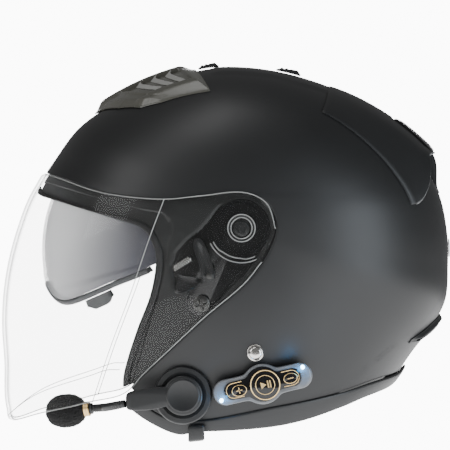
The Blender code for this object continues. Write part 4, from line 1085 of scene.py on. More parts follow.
# %% Nape outlet, reflector and press studs
def nape_outlet():
    """A bowed bar over the nape with one long slot sunk into it."""
    x = 50 * np.linspace(-1, 1, 141)[:, None]
    share = np.linspace(0, 1, 41)[None, :]
    middle = 204.8 + 9.0 * (x / 50) ** 2
    half = 1.5 * (1 - 0.5 * (np.abs(x) / 50) ** 4)
    angle = middle + half * (2 * share - 1)
    ends = smooth(1.0, 0.85, np.abs(x) / 50)
    height = 0.9 + 2.6 * smooth(0.0, 0.3, share) * smooth(1.0, 0.86, share) * ends
    slot = 2.4 * smooth(0.40, 0.44, share) * smooth(0.78, 0.74, share) * smooth(46.0, 44.5, np.abs(x))
    x = x + 0 * angle
    thick_sheet("nape_outlet", over(x, angle, height - slot), over(x, angle, 0.2), TRIM_BLACK,
                replaces=["neck_exhaust_vent"], slot="shell_black", sharp=30)


def reflector():
    """A small oval patch at the back, on the middle plane."""
    patch = circle(4.3, 48)[:, ::-1] * (1.3, 0.58)
    relief("rear_reflector", (0.0, 185.4), patch, ((0.05, 0.4), (1.0, 0.4), (1.0, 1.0), (0.97, 1.25),
            (0.9, 1.35), (0.05, 1.4)), over, REFLECTOR)


STUD_AT = (9.5, -85.2)


def press_stud(side, name):
    """A polished post: a skirt on the shell, a waist, and a shallow domed head with a dimple."""
    flat = level(side, float(side_x(np.array(STUD_AT[0]), np.array(STUD_AT[1]))))
    profile = [(1.0, 0.4, beside(side)), (1.0, 0.9, flat), (0.96, 1.3, flat), (0.80, 1.5, flat),
               (0.66, 2.0, flat), (0.63, 3.2, flat), (0.74, 3.9, flat), (0.78, 4.4, flat),
               (0.76, 4.9, flat), (0.68, 5.5, flat), (0.52, 5.9, flat), (0.28, 6.05, flat),
               (0.05, 6.1, flat)]
    rings = []
    for scale, height, cast in profile:
        points = np.asarray(STUD_AT) + scale * circle(5.7, 48)
        rings.append(cast(points[:, 0], points[:, 1], height))
    lofted(f"press_stud_{name}", rings, STEEL, replaces=[f"snap_stud_{name}"])


nape_outlet()
reflector()
for side, name in SIDES:
    press_stud(side, name)

# %% [markdown]
# ## The ratchet at each pivot
# Under the clear shield each pivot shows its mechanism: a plate with a toothed arc, a hub
# ring, a cross-headed screw, a release lever and its spring, over a floor painted near-black
# as shade in its pocket. On the comb, the rail and the hub's rims a light bead is a painted highlight of the
# edge.
# They are laid out in the side view and lifted onto the seat, mirrored for the far side.

# %% Ratchet plate with its toothed arc
PLATE_SCREW, LEVER_PIVOT = (-27.3, -51.8), (-21.9, -32.7)


def polar(radius, degrees):
    """Places by radius and degrees."""
    turn = np.radians(degrees)
    return np.stack([radius * np.cos(turn), radius * np.sin(turn)], -1)


def ribbon(name, outer, inner, place, low, high, material, body="helmet", closed=False, **more):
    """A raised strip between two matching lines in the side view, with chamfered top edges."""
    outer, inner = np.asarray(outer, float), np.asarray(inner, float)
    step = (inner - outer) / np.maximum(np.linalg.norm(inner - outer, axis=1, keepdims=True), 1e-6) * 0.25
    corners = ((outer, low), (outer, high - 0.25), (outer + step, high),
               (inner - step, high), (inner, high - 0.25), (inner, low))
    rings = np.stack([place(line[:, 0], line[:, 1], height) for line, height in corners], 1)
    lofted(name, rings, material, body, closed=closed, **more)


def ratchet_plate(side, name):
    """The plate, its two toothed arcs, the ring with its webs, and a bracket."""
    place = beside(side)
    turn = np.linspace(-68, 205, 90)
    rim = polar(19.6, turn)
    foot = spline(((-17.8, -8.3), (-27.0, -24.0), (-36.5, -45.0), (-35.5, -55.5), (-29.0, -60.0),
                   (-22.5, -56.0), (-5.0, -35.0), (7.3, -18.2)), 60)[1:-1]
    outline = np.concatenate([rim, foot])
    relief(f"ratchet_plate_{name}", (0, 0), outline, ((0.03, -5.4), (0.985, -5.4), (1.0, -4.2),
            (0.985, -3.9), (0.03, -3.9)), place, MECHANISM)
    arc = np.linspace(206, 296, 181)
    teeth = 20.6 + 0.75 * smooth(-0.4, 0.4, np.cos(np.radians((arc - 206) * 4)))
    ribbon(f"ratchet_teeth_{name}", polar(24.3, arc), polar(23.2, arc), place, -5.0, -3.0, MECHANISM)
    ribbon(f"ratchet_comb_{name}", polar(teeth, arc), polar(19.0, arc), place, -5.0, -3.0, MECHANISM)
    full = np.linspace(0, 360, 121)[:-1]
    ribbon(f"ratchet_ring_{name}", polar(17.4, full), polar(16.2, full), place, -4.2, -3.1, MECHANISM,
           closed=True)
    for number, angle in enumerate((20, 75, 130)):
        spoke = np.stack([polar(np.linspace(10.6, 16.4, 8), angle + lean) for lean in (-4, 4)])
        ribbon(f"ratchet_web_{number}_{name}", spoke[0], spoke[1], place, -4.2, -3.3, MECHANISM)
    bracket = spline(((-11.0, -24.6), (-6.0, -30.0), (1.2, -29.0)), 21)
    ribbon(f"ratchet_bracket_{name}", bracket, bracket + (0.5, 1.7), place, -5.0, -2.9, MECHANISM)


def bead_line(name, centre, outline, height, radius, material, body, plane, sides=8, **more):
    """A thin raised line along a closed outline in a plane."""
    count = len(outline)
    ahead = np.roll(outline, -1, 0) - np.roll(outline, 1, 0)
    normal = np.stack([-ahead[:, 1], ahead[:, 0]], 1) / np.linalg.norm(ahead, axis=1, keepdims=True)
    rings = []
    for turn in whole_turn(sides):
        flat = np.asarray(centre) + outline + radius * np.cos(turn) * normal
        rings.append(plane(flat[:, 0], flat[:, 1], height + radius * np.sin(turn) * np.ones(count)))
    lofted(name, np.stack(rings, 1), material, body, closed=True, **more)


def bay(side, name):
    """Floor of the pocket that the mechanism sits in, painted near-black as shade, and light beads along its
    teeth as painted highlights.
    """
    outline = loop(BAY, 180)
    centre = np.array((-14.0, -18.0))
    # painted shade: a near-black floor laid into the pocket
    relief(f"mechanism_bay_{name}", centre, (outline - centre) * 0.985, [(0.03, -7.4), (0.35, -7.4),
            (0.7, -7.4), (1.0, -7.4)] + [(share, -5.75) for share in np.linspace(1.0, 0.03, 14)],
           beside(side), BAY_PAINTED_SHADE)
    arc = np.linspace(206, 296, 181)
    teeth = 20.6 + 0.75 * smooth(-0.4, 0.4, np.cos(np.radians((arc - 206) * 4)))
    # painted highlights: light beads along the comb and the rail stand for their lit edges
    for line, radius in (("comb", teeth), ("rail", np.full(181, 23.6))):
        flat = polar(radius, arc)
        path = beside(side)(flat[:, 0], flat[:, 1], -2.85)
        bar(f"ratchet_{line}_edge_{name}", path, 0.42, PAINTED_HIGHLIGHT_BEAD, sides=8)


def hub(side, name):
    """The ring that turns with the shield: a raised rim, a well and a slotted middle."""
    place = beside(side)
    relief(f"pivot_hub_{name}", (0, 0), circle(9.7, 80), ((0.03, -2.5), (0.98, -2.5), (1.0, -2.2),
            (1.0, -0.1), (0.97, 0.25), (0.8, 0.3), (0.765, 0.1), (0.76, -1.4), (0.6, -1.5), (0.58, -0.9),
            (0.54, -0.7), (0.3, -0.7), (0.27, -1.0), (0.03, -1.0)), place, DARK_PLASTIC, "shield",
           slot="mechanism_steel")
    # painted highlights: light beads round the hub's rims stand for their lit edges
    for radius, height in ((9.3, 0.35), (7.2, 0.25)):
        bead_line(f"hub_rim_{int(radius)}_{name}", (0, 0), circle(radius, 96), height, 0.4, PAINTED_HIGHLIGHT_BEAD,
                  "shield", place)
    for number in range(3):
        arc = np.linspace(12, 98, 31) + 120 * number
        ribbon(f"hub_lug_{number}_{name}", polar(7.1, arc), polar(6.1, arc), place, -1.5, -0.2, MECHANISM,
               "shield")


def cross_screw(side, name):
    """Domed screw head with a cross recess: the recess is a height that falls near two lines."""
    place, radius, top = beside(side), 5.7, -0.9
    turn = whole_turn(72)[:, None]
    share = np.concatenate([[0.02], np.linspace(0.06, 0.94, 34), [0.97, 1.0]])[None, :]
    y, z = share * radius * np.cos(turn + 0.35), share * radius * np.sin(turn + 0.35)
    flat_y, flat_z = share * radius * np.cos(turn), share * radius * np.sin(turn)
    near = np.minimum(np.abs(flat_y), np.abs(flat_z))
    cross = smooth(0.85, 0.45, near) * smooth(0.72, 0.62, share)
    height = top - 0.9 * share**4 - 1.1 * cross
    outer = place(PLATE_SCREW[0] + y, PLATE_SCREW[1] + z, height)
    inner = place(PLATE_SCREW[0] + y, PLATE_SCREW[1] + z, top - 2.6)
    thick_sheet(f"plate_screw_{name}", outer, inner, DARK_STEEL, wrap=True)


def release_lever(side, name):
    """Thin lever with a thumb tip; its heel carries a raised rib and its pin a small boss."""
    place = beside(side)
    body = f"lever_{name}"
    outline = loop(((-26.5, -33.5), (-29.0, -24.0), (-32.6, -13.5), (-31.8, -7.6), (-28.6, -7.0),
                    (-25.6, -10.0), (-21.5, -20.0), (-18.4, -31.0), (-20.0, -36.2), (-24.0, -36.6)), 80)
    relief(f"release_lever_{name}", (-25.5, -22.0), outline - (-25.5, -22.0), ((0.03, -2.6), (0.97, -2.6),
            (1.0, -2.3), (1.0, -1.2), (0.95, -0.9), (0.7, -0.9), (0.66, -1.3), (0.03, -1.3)), place,
           DARK_PLASTIC, body)
    relief(f"lever_boss_{name}", LEVER_PIVOT, circle(2.2, 40), ((0.04, -1.8), (1.0, -1.8), (1.0, -0.7),
            (0.85, -0.5), (0.04, -0.5)), place, DARK_STEEL, body)


def return_spring(side, name):
    """A coil of nine turns, drawn as a circle carried along a line, on its seat."""
    start, end = np.array((-46.4, -27.8)), np.array((-34.4, -20.6))
    t = np.linspace(0, 1, 9 * 24 + 1)
    along = (end - start) / np.linalg.norm(end - start)
    across = np.array((-along[1], along[0]))
    turn = 2 * np.pi * 9 * t
    size = 2.3 * smooth(-0.02, 0.05, t) * smooth(1.02, 0.95, t) + 0.1
    flat = start + t[:, None] * (end - start) + (size * np.cos(turn))[:, None] * across
    path = beside(side)(flat[:, 0], flat[:, 1], -2.6 + size * np.sin(turn) * 0.9)
    bar(f"lever_spring_{name}", path, 0.24, SPRING, sides=8)
    wedge = loop(((-43.4, -31.4), (-30.1, -34.0), (-28.7, -39.2), (-44.8, -44.5)), 60)
    centre = wedge.mean(0)
    relief(f"spring_seat_{name}", centre, wedge - centre, ((0.03, -5.4), (0.96, -5.4), (1.0, -5.0),
            (1.0, -3.4), (0.93, -3.1), (0.7, -3.3), (0.03, -3.3)), beside(side), MECHANISM)


for side, name in SIDES:
    bay(side, name)
    ratchet_plate(side, name)
    hub(side, name)
    cross_screw(side, name)
    release_lever(side, name)
    return_spring(side, name)

# %% [markdown]
# ## Intercom: pod, buttons and boom
# The pod is a straight bar that swells into a disc round its middle button. Its gloss face carries thin
# gold outlines, and two small lamps glow at its ends. The boom's hub turns on a round base
# and holds a flexible stalk with a foam windscreen.

# %% Pod and its buttons
POD_MIDDLE, POD_TILT = np.array((14.5, -106.2)), 12.9
PLAY_AT, UP_AT, DOWN_AT = (16.1, -106.6), (-1.5, -110.5), (33.4, -102.1)
LED_FRONT, LED_REAR = (-13.6, -117.4), (41.6, -94.6)
# heights above the pod's plane, in rising order
POD_TOP, FACE_TOP, BUTTON_BASE, MARK_TOP = 12.7, 13.95, 14.95, 16.8
pod_plane = level(1, float(side_x(*POD_MIDDLE)))
boom_plane = level(1, float(side_x(*BOOM_PIVOT)))


def tilted(outline, degrees=POD_TILT):
    """Turns an outline by the pod's own slope."""
    turn = np.radians(degrees)
    return outline @ np.array(((np.cos(turn), np.sin(turn)), (-np.sin(turn), np.cos(turn))))


def pod_outline(half_length, half_height, bulge, sides=180):
    """A straight bar with round ends that swells into a disc round the middle button."""
    t = whole_turn(sides)
    way = unit(np.stack([np.cos(t), 0.4 * np.sin(t)], 1))
    cosine, sine = np.abs(way).T
    middle = half_length - half_height
    end = middle * cosine + np.sqrt(np.maximum(half_height**2 - (middle * sine) ** 2, 0))
    flat = half_height / np.maximum(sine, 1e-6)
    straight = np.where(flat * cosine < middle, flat, end)
    radius = (straight**12 + bulge**12) ** (1 / 12)
    return tilted(way * radius[:, None])


def standing_on(name, centre, outline, steps, plane, material, body="helmet", **more):
    """Rings of an outline: the first ones follow the shell, the others lie in a plane."""
    follow = beside(1)
    rings = []
    for scale, height, follows in steps:
        y, z = (np.asarray(centre) + scale * outline).T
        rings.append((follow if follows else plane)(y, z, height))
    lofted(name, rings, material, body, **more)


def pod():
    """The housing, its gloss face, and a gold line round each end of the face."""
    steps = [(0.02, 2.9, True), (0.96, 2.9, True), (0.985, 5.5, False), (1.0, 8.0, False),
             (1.0, 10.6, False), (0.99, 11.7, False), (0.965, 12.4, False), (0.93, POD_TOP, False),
             (0.02, POD_TOP, False)]
    standing_on("pod_housing", POD_MIDDLE, pod_outline(34.5, 8.8, 13.8), steps, pod_plane, POD_GREY)
    face = pod_outline(27.0, 6.2, 12.0)
    relief("pod_face", POD_MIDDLE, face, ((0.02, 12.7), (1.0, 12.7), (1.0, 13.5), (0.985, 13.85),
            (0.96, FACE_TOP), (0.02, FACE_TOP)), pod_plane, PIANO, replaces=["pod_faceplate"])
    ring = tilted(pod_outline(25.2, 5.0, 1.0), -POD_TILT)
    for side, name in ((-1, "front"), (1, "rear")):
        line = ring[side * ring[:, 0] > 13.4]
        line = tilted(line[np.argsort(np.arctan2(line[:, 1], side * line[:, 0]))])
        path = pod_plane(*(POD_MIDDLE + line).T, 14.0 * np.ones(len(line)))
        bar(f"pod_line_{name}", path, 0.3, GOLD, sides=8)


def stroke(name, points, half, height, body):
    """A flat metal mark with round ends, in the pod's plane: half is half its width."""
    points = np.array(points, float)
    start, end = points
    along = (end - start) / np.linalg.norm(end - start)
    across = np.array((-along[1], along[0]))
    turn = np.radians(np.linspace(-90, 90, 13))
    cap = [end + half * (np.cos(t) * along + np.sin(t) * across) for t in turn]
    cap += [start - half * (np.cos(t) * along + np.sin(t) * across) for t in turn]
    cap = np.array(cap)
    centre = cap.mean(0)
    relief(name, centre, cap - centre, ((0.04, height - 0.3), (1.0, height - 0.3), (1.0, height),
            (0.04, height)), pod_plane, GOLD, body)


def pod_button(name, body, centre, outline, node):
    """A button that keeps clear of the face when it is pressed in."""
    relief(name, centre, outline,
           ((0.03, BUTTON_BASE), (0.97, BUTTON_BASE), (1.0, 15.15), (1.0, 15.8), (0.96, 16.2),
            (0.88, 16.5), (0.03, 16.6)),
           pod_plane, PIANO, body, replaces=[node], slot="button_gloss")


def pod_buttons():
    """Three buttons with gold rims: play, louder and quieter."""
    pod_button("play_button", "play", PLAY_AT, circle(10.4, 120), "play_button")
    bead_line("play_ring_outer", PLAY_AT, circle(9.9, 120), 16.1, 0.42, GOLD, "play", pod_plane)
    bead_line("play_ring_inner", PLAY_AT, circle(6.5, 96), 16.55, 0.24, GOLD, "play", pod_plane)
    centre = np.array(PLAY_AT)
    triangle = tilted(np.array(((-3.0, 2.4), (-3.0, -2.4), (0.9, 0.0))))
    middle = triangle.mean(0)
    relief("play_mark", centre + middle, triangle - middle, ((0.05, 16.4), (1.0, 16.4), (1.0, 16.8),
            (0.05, 16.8)), pod_plane, GOLD, "play")
    for number, along in enumerate((2.0, 3.6)):
        ends = centre + tilted(np.array(((along, -2.2), (along, 2.2))))
        stroke(f"pause_mark_{number}", ends, 0.42, MARK_TOP, "play")
    for name, body, at, size in (("volume_up", "volume_up", UP_AT, (3.9, 1.35)),
                                 ("volume_down", "volume_down", DOWN_AT, (3.5, 1.4))):
        shape = tilted(circle(size[0], 80, size[1]))
        pod_button(f"{name}_button", body, at, shape, f"{name}_button")
        bead_line(f"{name}_line", at, shape * 0.93, 16.1, 0.32, GOLD, body, pod_plane)
        bar_ends = np.array(at) + tilted(np.array(((-1.9, 0.0), (1.9, 0.0))))
        stroke(f"{name}_mark", bar_ends, 0.34, MARK_TOP, body)
    upright = np.array(UP_AT) + tilted(np.array(((0.0, -1.9), (0.0, 1.9))))
    stroke("volume_up_upright", upright, 0.34, MARK_TOP, "volume_up")


def lamps():
    """Two beads that glow, each with a small blue light that falls on what is round it."""
    for name, where in (("front", LED_FRONT), ("rear", LED_REAR)):
        relief(f"lamp_{name}", where, circle(1.5, 36), ((0.05, 12.5), (1.0, 12.5), (1.0, 12.95),
                (0.88, 13.5), (0.6, 13.85), (0.05, 14.0)), pod_plane, BLUE_GLOW, replaces=[f"led_{name}"])
        spill = bpy.data.lights.new(f"spill_{name}", "POINT")
        spill.energy, spill.color, spill.shadow_soft_size = 0.009, (0.04, 0.42, 1.0), 0.002
        add(f"spill_{name}", spill).location = pod_plane(*np.array(where)[:, None], 20.0)[0] / 1000


pod()
pod_buttons()
lamps()

# %% Boom: base, arm, stalk, capsule, foam and clip
boom_out = float(side_x(*BOOM_PIVOT)) + 12.6
stalk_path = spline(((boom_out, -79.4, -119.6), (boom_out - 4, -86.0, -121.0),
                     (boom_out - 24, -92.0, -122.6), (boom_out - 52, -94.0, -123.6),
                     (boom_out - 63, -96.5, -124.1), (boom_out - 67, -101.0, -124.6)), 18)
STALK_TIP, MIC_AHEAD = stalk_path[-1], unit(np.array((-6.0, -27.0, -2.6)))


def about_mic(steps, sides=64):
    """Rings round the microphone's own axis, by distance along it and radius."""
    across = unit(np.cross(MIC_AHEAD, (0, 0, 1.0)))
    turn = whole_turn(sides)[:, None]
    spokes = np.cos(turn) * across + np.sin(turn) * np.cross(across, MIC_AHEAD)
    return [STALK_TIP + along * MIC_AHEAD + radius * spokes for along, radius in steps]


def boom():
    """A round base, and an arm made of a disc and a blunt tail, with a cap."""
    steps = [(0.02, 2.9, True), (0.985, 2.9, True), (1.0, 4.2, False), (1.0, 8.0, False),
             (0.985, 9.0, False), (0.95, 9.6, False), (0.80, 9.7, False), (0.78, 9.4, False),
             (0.02, 9.4, False)]
    standing_on("boom_base", BOOM_PIVOT, circle(19.8, 120), steps, boom_plane, DARK_PLASTIC)
    turn = whole_turn(120)
    disc = 13.6 * np.stack([np.cos(turn), np.sin(turn)], 1)
    tail = spline(((-12.2, 6.2), (-20.0, 5.6), (-30.0, 4.2), (-37.2, 2.2), (-38.9, -1.0), (-38.6, -7.0),
                   (-36.6, -9.8), (-28.0, -10.0), (-19.0, -9.2), (-11.4, -7.5)), 70)
    outline = np.concatenate([disc[turn < 2.66], tail, disc[turn > 3.74]])
    relief("boom_arm", BOOM_PIVOT, outline, ((0.02, 9.9), (0.985, 9.9), (1.0, 10.3), (1.0, 14.0),
            (0.985, 14.8), (0.95, 15.2), (0.9, 15.35), (0.02, 15.4)), boom_plane, DARK_PLASTIC, "boom",
           replaces=["boom_hub"])
    relief("boom_cap", BOOM_PIVOT, circle(11.4, 100), ((0.02, 15.0), (1.0, 15.0), (1.0, 15.6),
            (0.97, 15.9), (0.9, 16.0), (0.86, 15.8), (0.02, 15.7)), boom_plane, DARK_PLASTIC, "boom")


def stalk():
    """Flexible stalk: a fine ribbed sleeve, so its radius is a wave along its length."""
    walked = np.linspace(0, 1, 601)
    path = spline(stalk_path, 601)
    rib = 2.75 + 0.16 * np.cos(walked * 2 * np.pi * 44)
    bar("gooseneck", path, rib, DARK_PLASTIC, "boom", sides=32)
    lofted("mic_capsule", about_mic(((1.6, 0.2), (1.6, 3.5), (1.9, 3.9), (3.4, 3.9), (3.7, 3.2),
             (14.0, 3.0), (14.0, 0.2))), DARK_PLASTIC, "boom")
    lofted("mic_ring", about_mic(((3.9, 3.4), (3.9, 4.9), (4.2, 5.2), (5.4, 5.2), (5.6, 5.0), (5.9, 5.0),
             (6.1, 5.2), (7.5, 5.2), (7.8, 4.9), (7.8, 3.4))), GOLD, "boom", closed=True)


def foam_ball():
    """Windscreen: a rounded plug whose skin is broken up by small open pores."""
    bend = np.radians(np.linspace(20, 172, 150))
    dome = list(zip(20.6 - 14.0 * np.cos(bend), 11.6 * np.sin(bend) ** 0.75))
    steps = [(14.5, 0.2), (14.5, 3.4), (8.0, 3.4), *dome, (dome[-1][0] + 0.15, 0.2)]
    rings = np.stack(about_mic(steps, 200))
    centre = STALK_TIP + 20.6 * MIC_AHEAD
    random = np.random.default_rng(5)
    way = unit(rings - centre)
    rough = np.zeros(rings.shape[:2])
    for _ in range(40):
        wave, phase = random.normal(size=3) * 22, random.uniform(0, 6.3)
        rough += np.sin(way @ wave + phase)
    fade = smooth(3, 14, np.arange(len(rings)))[:, None]
    rings = rings + way * (rough * 0.035 * fade)[..., None]
    foam = lofted("mic_foam", rings, WIND_FOAM, "boom", replaces=["mic_windscreen"], sharp=180)


def clip():
    """A hook of one section that follows the shell's lower edge."""
    sections = []
    for y in np.linspace(-25.2, -36.4, 25):
        end = min(abs(y + 25.2), abs(y + 36.4))
        soft = 0.9 * smooth(1.2, 0.0, end)
        x = float(side_x(np.array(y), np.array(-130.0)))
        low = float(np.interp(y, *np.array(LOWER_EDGE).T)) - 5.2
        corners = rounded(((2.8, -134.4 - soft), (6.4 - soft, -134.4 - soft), (5.6 - soft, low - 2.6),
                           (-1.0, low - 4.2 + soft), (-12.5, low - 4.2 + soft), (-12.5, low - 1.2),
                           (-1.2, low - 1.4), (2.6, low - 0.4)))
        sections.append([(x + out, y, z) for out, z in corners])
    lofted("boom_clip", sections, DARK_PLASTIC)


boom()
stalk()
foam_ball()
clip()

# %% [markdown]
# ## Inside: foam, pads, speakers and strap
# The foam liner has a stepped pocket above the face, where the sun lens goes when it is up.
# The pads are sewn cloth over soft foam. Each starts a little small and is blown up by a
# cloth simulation, so that its skin is taut and round; all but the chin pad are then creased along their
# seams.

# %% Foam liner
LINER_FRONT = (
    (-137.0, 33.5), (-126.0, 28.0), (-110.0, 22.5), (-84.0, 14.0), (-60.0, 6.0),
    (-50.0, -8.0), (-46.0, -26.0), (-40.0, -50.0),
)
LINER_REAR = ((-40.0, -50.0), (0.0, -58.0), (50.0, -58.0), (95.0, -62.0), (142.0, -52.0))
LINER_GAP, LINER_INNER = 2.2, 34.0


def sun_reach(way, radius):
    """Distance along unit directions to the sun lens's swept surface, by halving."""
    near, far = np.zeros(way.shape[:-1]), np.full(way.shape[:-1], 300.0)
    half_width = SUN_HALF_WIDTH - SUN_RADIUS + radius
    for _ in range(30):
        middle = (near + far) / 2
        x, y, z = np.moveaxis(way * middle[..., None], -1, 0)
        from_axis = np.hypot(y - SUN_PIVOT[0], z - SUN_PIVOT[1])
        within = (np.abs(x) / half_width) ** POWER + (from_axis / radius) ** POWER < 1
        near, far = np.where(within, middle, near), np.where(within, far, middle)
    return near


def foam_liner():
    """The liner: the shell's surface moved in, cut back to where the sun lens sweeps."""
    rim = unit(both_sides(edge_points(LINER_FRONT, 111, first=True),
                          edge_points(LINER_REAR, 71, last=True)))
    rim = np.stack([swing(REAR_POLE, rim, share) for share in np.linspace(0, 1, 61)], 1)
    skin = on_shell(rim)
    drop = WALL + LINER_GAP + (RECESS_SIDE - 0.2) * smooth(52.0, 22.0, skin[..., 1])
    outer = reach(rim) - drop
    lens = sun_reach(rim, SUN_RADIUS - 2.0) - 2.0
    at = rim * lens[..., None]
    turned = np.degrees(np.arctan2(at[..., 2] - SUN_PIVOT[1], SUN_PIVOT[0] - at[..., 1]))
    from_axis = np.hypot(at[..., 1] - SUN_PIVOT[0], at[..., 2] - SUN_PIVOT[1])
    swept = ((turned > -34) & (turned < 98)) | (from_axis < 32)
    outer = np.where(swept, np.minimum(outer, lens), outer)
    channel = 3.0 * smooth(5.0, 3.5, np.abs(np.abs(skin[..., 0]) - 26)) * smooth(20.0, 40.0, skin[..., 2])
    inner = np.minimum(reach(rim) - LINER_INNER, outer - 7) + channel
    thick_sheet("foam_liner", rim * outer[..., None], rim * inner[..., None], LINER_FOAM, wrap=True,
                replaces=["eps_liner"])


foam_liner()


# %% Blown-up pads
def inflate(piece, voxel, cap, pressure=4.0):
    """Stuffed cloth: remesh, blow up with gravity off, and hold every point within the cap."""
    bpy.context.view_layer.objects.active = piece
    remesh = piece.modifiers.new("net", "REMESH")
    remesh.mode, remesh.voxel_size = "VOXEL", voxel * 0.001
    bpy.ops.object.modifier_apply(modifier="net")
    mesh = piece.data
    start = np.empty(len(mesh.vertices) * 3)
    mesh.vertices.foreach_get("co", start)
    cloth = piece.modifiers.new("cloth", "CLOTH")
    cloth.settings.use_pressure = True
    cloth.settings.uniform_pressure_force = pressure
    cloth.settings.quality = 4
    cloth.settings.effector_weights.gravity = 0
    for step in range(1, 21):
        bpy.context.scene.frame_set(step)
    bpy.ops.object.modifier_apply(modifier="cloth")
    bpy.context.scene.frame_set(1)
    blown = np.empty(len(piece.data.vertices) * 3)
    piece.data.vertices.foreach_get("co", blown)
    move = (blown - start).reshape(-1, 3) * 1000
    size = np.linalg.norm(move, axis=1, keepdims=True)
    move *= np.minimum(1.0, cap / np.maximum(size, 1e-6))
    finer = piece.modifiers.new("finer", "SUBSURF")
    points = start.reshape(-1, 3) * 1000 + move
    piece.data.vertices.foreach_set("co", (points * 0.001).reshape(-1))
    finer.levels = finer.render_levels = 1
    bpy.ops.object.modifier_apply(modifier="finer")
    print(piece.name, "points:", len(piece.data.vertices), "moved up to", round(float(size.max()), 2), "mm")


def press(piece, shift):
    """Moves every point by a function of all the points, in millimetres: seams and channels."""
    count = len(piece.data.vertices)
    points = np.empty(count * 3)
    piece.data.vertices.foreach_get("co", points)
    points = points.reshape(-1, 3) * 1000
    piece.data.vertices.foreach_set("co", ((points + shift(points)) * 0.001).reshape(-1))
    piece.data.update()
    piece.data.shade_smooth()


CHEEK_OUTLINE = np.array((
    (-64.0, -62.0), (-57.0, -50.0), (-38.0, -57.0), (-12.0, -64.0), (4.0, -68.0), (8.0, -80.0),
    (4.0, -100.0), (-10.0, -114.0), (-36.0, -121.0), (-58.0, -114.0), (-68.0, -96.0), (-68.0, -78.0),
))


def cheek_pad(side, name):
    """A pad between shell and cheek, with a seam a set distance inside its outline."""
    centre = CHEEK_OUTLINE.mean(0)
    outline = loop(CHEEK_OUTLINE, 96) - centre
    profile = ((0.02, -11.5), (0.5, -11.5), (0.92, -12.0), (0.97, -14.0), (0.97, -20.0), (0.93, -27.0),
               (0.8, -31.5), (0.5, -33.5), (0.02, -34.5))
    pad = relief(f"cheek_pad_{name}", centre, outline, profile, beside(side), LINING)
    inflate(pad, 4.0, 2.2)

    def seams(points):
        inside = inside_by(points[:, 1], points[:, 2], CHEEK_OUTLINE)
        inner_face = smooth(-14.0, -22.0, np.abs(points[:, 0]) - side_x(points[:, 1], points[:, 2]))
        groove = 1.5 * np.exp(-((inside - 13.0) / 1.1) ** 2) * inner_face
        return np.stack([side * groove, 0 * groove, 0 * groove], 1)

    press(pad, seams)


def crown_pad():
    """A pad under the liner with quilted channels across and along."""
    x = np.linspace(-58, 58, 41)[:, None]
    angle = np.linspace(93, 151, 31)[None, :]
    edge = np.maximum(np.abs(x) / 58, np.abs(angle - 122) / 29)
    way = unit(over(x, angle, 0.0))
    top, foot = on_shell(way, -LINER_INNER - 2.8), on_shell(way, -LINER_INNER - 5.0 - 5.0 * (1 - edge**6))
    pad = thick_sheet("crown_pad", top, foot, LINING)
    inflate(pad, 4.0, 2.0)

    def quilting(points):
        clock = clock_angle(points[:, 1], points[:, 2])
        lines = np.exp(-((np.abs(points[:, 0]) - 20) / 1.3) ** 2) + np.exp(-((clock - 122) / 0.9) ** 2)
        depth = reach(unit(points)) - np.linalg.norm(points, axis=1)
        under = smooth(LINER_INNER + 4.0, LINER_INNER + 7.0, depth)
        return unit(points) * (1.8 * np.minimum(lines, 1.0) * under)[:, None]

    press(pad, quilting)


def neck_roll():
    """A roll along the nape, pinched by piping at even steps."""
    half = edge_points(((14.0, -112.0), (45.0, -107.0), (72.0, -99.0), (92.0, -92.0), (108.0, -80.0)),
                       50, last=True)
    path = np.concatenate([half, half[-2::-1] * (-1, 1, 1)])
    path = on_shell(unit(path), -WALL - 13.5)
    ends = np.abs(np.linspace(-1, 1, len(path)))
    pad = bar("neck_roll", path, 9.4 * (1 - 0.5 * ends ** 8), LINING, sides=28)
    inflate(pad, 4.5, 1.2)

    def piping(points):
        away = points[:, None, :] - path[None, ::3, :]
        nearest = np.argmin((away**2).sum(2), 1)
        along = path[::3][nearest]
        ahead = unit(np.gradient(path, axis=0))[::3][nearest]
        spoke = points - along
        share = np.abs((spoke * ahead).sum(1))
        rib = np.mod(nearest, 8) == 0
        pinch = 1.4 * np.exp(-(share / 1.4) ** 2) * rib
        return -unit(spoke) * pinch[:, None]

    press(pad, piping)


def chin_pad():
    """A flat oval sleeve round the strap."""
    turn = whole_turn(48)
    rings = [np.stack([np.full(48, x), -27.0 - 10.4 * np.cos(turn),
                       -121.4 + 1.9 * np.sin(turn) + 0.0028 * x * x], 1) for x in np.linspace(-21, 33, 28)]
    pad = lofted("chin_pad", rings, LINING)
    inflate(pad, 1.6, 0.3, 3.0)


for side, name in SIDES:
    cheek_pad(side, name)
crown_pad()
neck_roll()
chin_pad()


# %% Speakers
def speaker(side, name):
    """Round cloth-faced speaker: a raised welt, a flat grille and a sewn centre."""
    place = beside(side)
    relief(f"speaker_{name}", (14.0, -30.0), circle(19.0, 96), ((0.03, -35.2), (0.92, -35.2),
            (0.98, -36.0), (1.0, -37.5), (1.0, -40.2), (0.97, -41.3), (0.9, -41.7), (0.82, -41.4),
            (0.78, -40.9), (0.3, -41.1), (0.27, -40.7), (0.24, -41.2), (0.03, -41.4)), place, LINING)


for side, name in SIDES:
    speaker(side, name)

# %% Chin strap and buckle
STRAP_PATH = ((70.0, 2.0, -92.0), (69.0, -6.0, -106.0), (60.0, -18.0, -119.0))


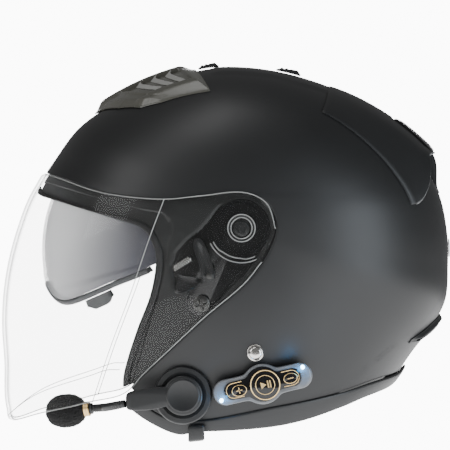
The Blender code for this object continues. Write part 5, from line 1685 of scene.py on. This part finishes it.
def strap(side, name, stop):
    """Flat webbing with rounded selvedges, stitched across near its rivet."""
    path = spline((*STRAP_PATH, (stop, -27.0, -127.0)), 90) * (side, 1, 1)
    ahead = unit(np.gradient(path, axis=0))
    wide = unit(np.array((0.0, 1.0, 0.0)) - ahead * ahead[:, 1:2])
    thick = np.cross(ahead, wide)
    under = ((-1, -0.3), (-0.97, -0.7), (-0.9, -0.8), (0, -0.72), (0.9, -0.8), (0.97, -0.7), (1, -0.3))
    corners = [*under, *((-s, -t) for s, t in under)]
    rings = [[p + s * 11.0 * w + t * n for s, t in corners] for p, w, n in zip(path, wide, thick)]
    lofted(f"chin_strap_{name}", rings, WEBBING)
    for row in range(3):
        at = 8 + row * 3
        line = np.array([path[at] + s * 10.0 * wide[at] for s in np.linspace(-1, 1, 41)])
        wave = 0.95 + 0.14 * np.sin(np.linspace(0, 41 * np.pi / 1.5, 41))
        for face, sign in (("out", 1), ("in", -1)):
            bar(f"strap_stitch_{row}_{face}_{name}", line + sign * wave[:, None] * thick[at], 0.24,
                LINING, sides=6, slot="webbing")


def rivet(side, name):
    """A domed rivet through the strap."""
    turn = whole_turn(48)
    rings = [np.stack([np.full(48, side * x), 2.0 + r * np.cos(turn), -92.0 + r * np.sin(turn)], 1)
             for x, r in ((71.2, 0.1), (71.2, 5.4), (71.6, 5.5), (72.2, 4.9), (72.6, 3.6), (72.75, 0.1))]
    lofted(f"strap_rivet_{name}", rings, STEEL)


def soft_block(name, low, high, radius, material, body="helmet", **more):
    """A block with rounded long edges and eased ends, as a loft of rounded rectangles along X."""
    (a, b, c), (d, e, f) = low, high
    rings = []
    for x, ease in ((a, 0.7), (a + radius * 0.3, 0.25), (a + radius, 0.0),
                    (d - radius, 0.0), (d - radius * 0.3, 0.25), (d, 0.7)):
        cut = ease * radius
        corners = ((b + cut, c + cut), (e - cut, c + cut), (e - cut, f - cut), (b + cut, f - cut))
        rings.append([(x, y, z) for y, z in rounded(corners)])
    return lofted(name, rings, material, body, **more)


strap(1, "left", 27.0)
strap(-1, "right", 9.0)
for side, name in SIDES:
    rivet(side, name)
soft_block("buckle_receiver", (11.0, -39.5, -133.4), (26.0, -15.0, -129.4), 1.2, BRUSHED)
soft_block("buckle_tongue", (-4.0, -35.5, -132.6), (10.4, -19.0, -130.2), 0.8, BRUSHED)
soft_block("buckle_lever", (13.0, -37.0, -135.9), (25.0, -18.0, -133.8), 0.7, BUCKLE_RED, "buckle_lever")


# %% Floor
def floor(height, radius):
    """A round pale floor below the helmet, which isn't part of it."""
    turn = whole_turn(96)
    disc = np.stack([radius * np.cos(turn), radius * np.sin(turn), np.full(96, height)], 1)
    mesh = bpy.data.meshes.new("floor")
    mesh.from_pydata(disc.tolist(), [], [list(range(96))])
    material, shader, place = surface("floor_white", (0.9, 0.9, 0.9), 0.6)
    shader.inputs["Emission Color"].default_value = (1, 1, 1, 1)
    shader.inputs["Emission Strength"].default_value = 2.2
    mesh.materials.append(material)
    add("floor", mesh)


floor(-0.2, 1.0)
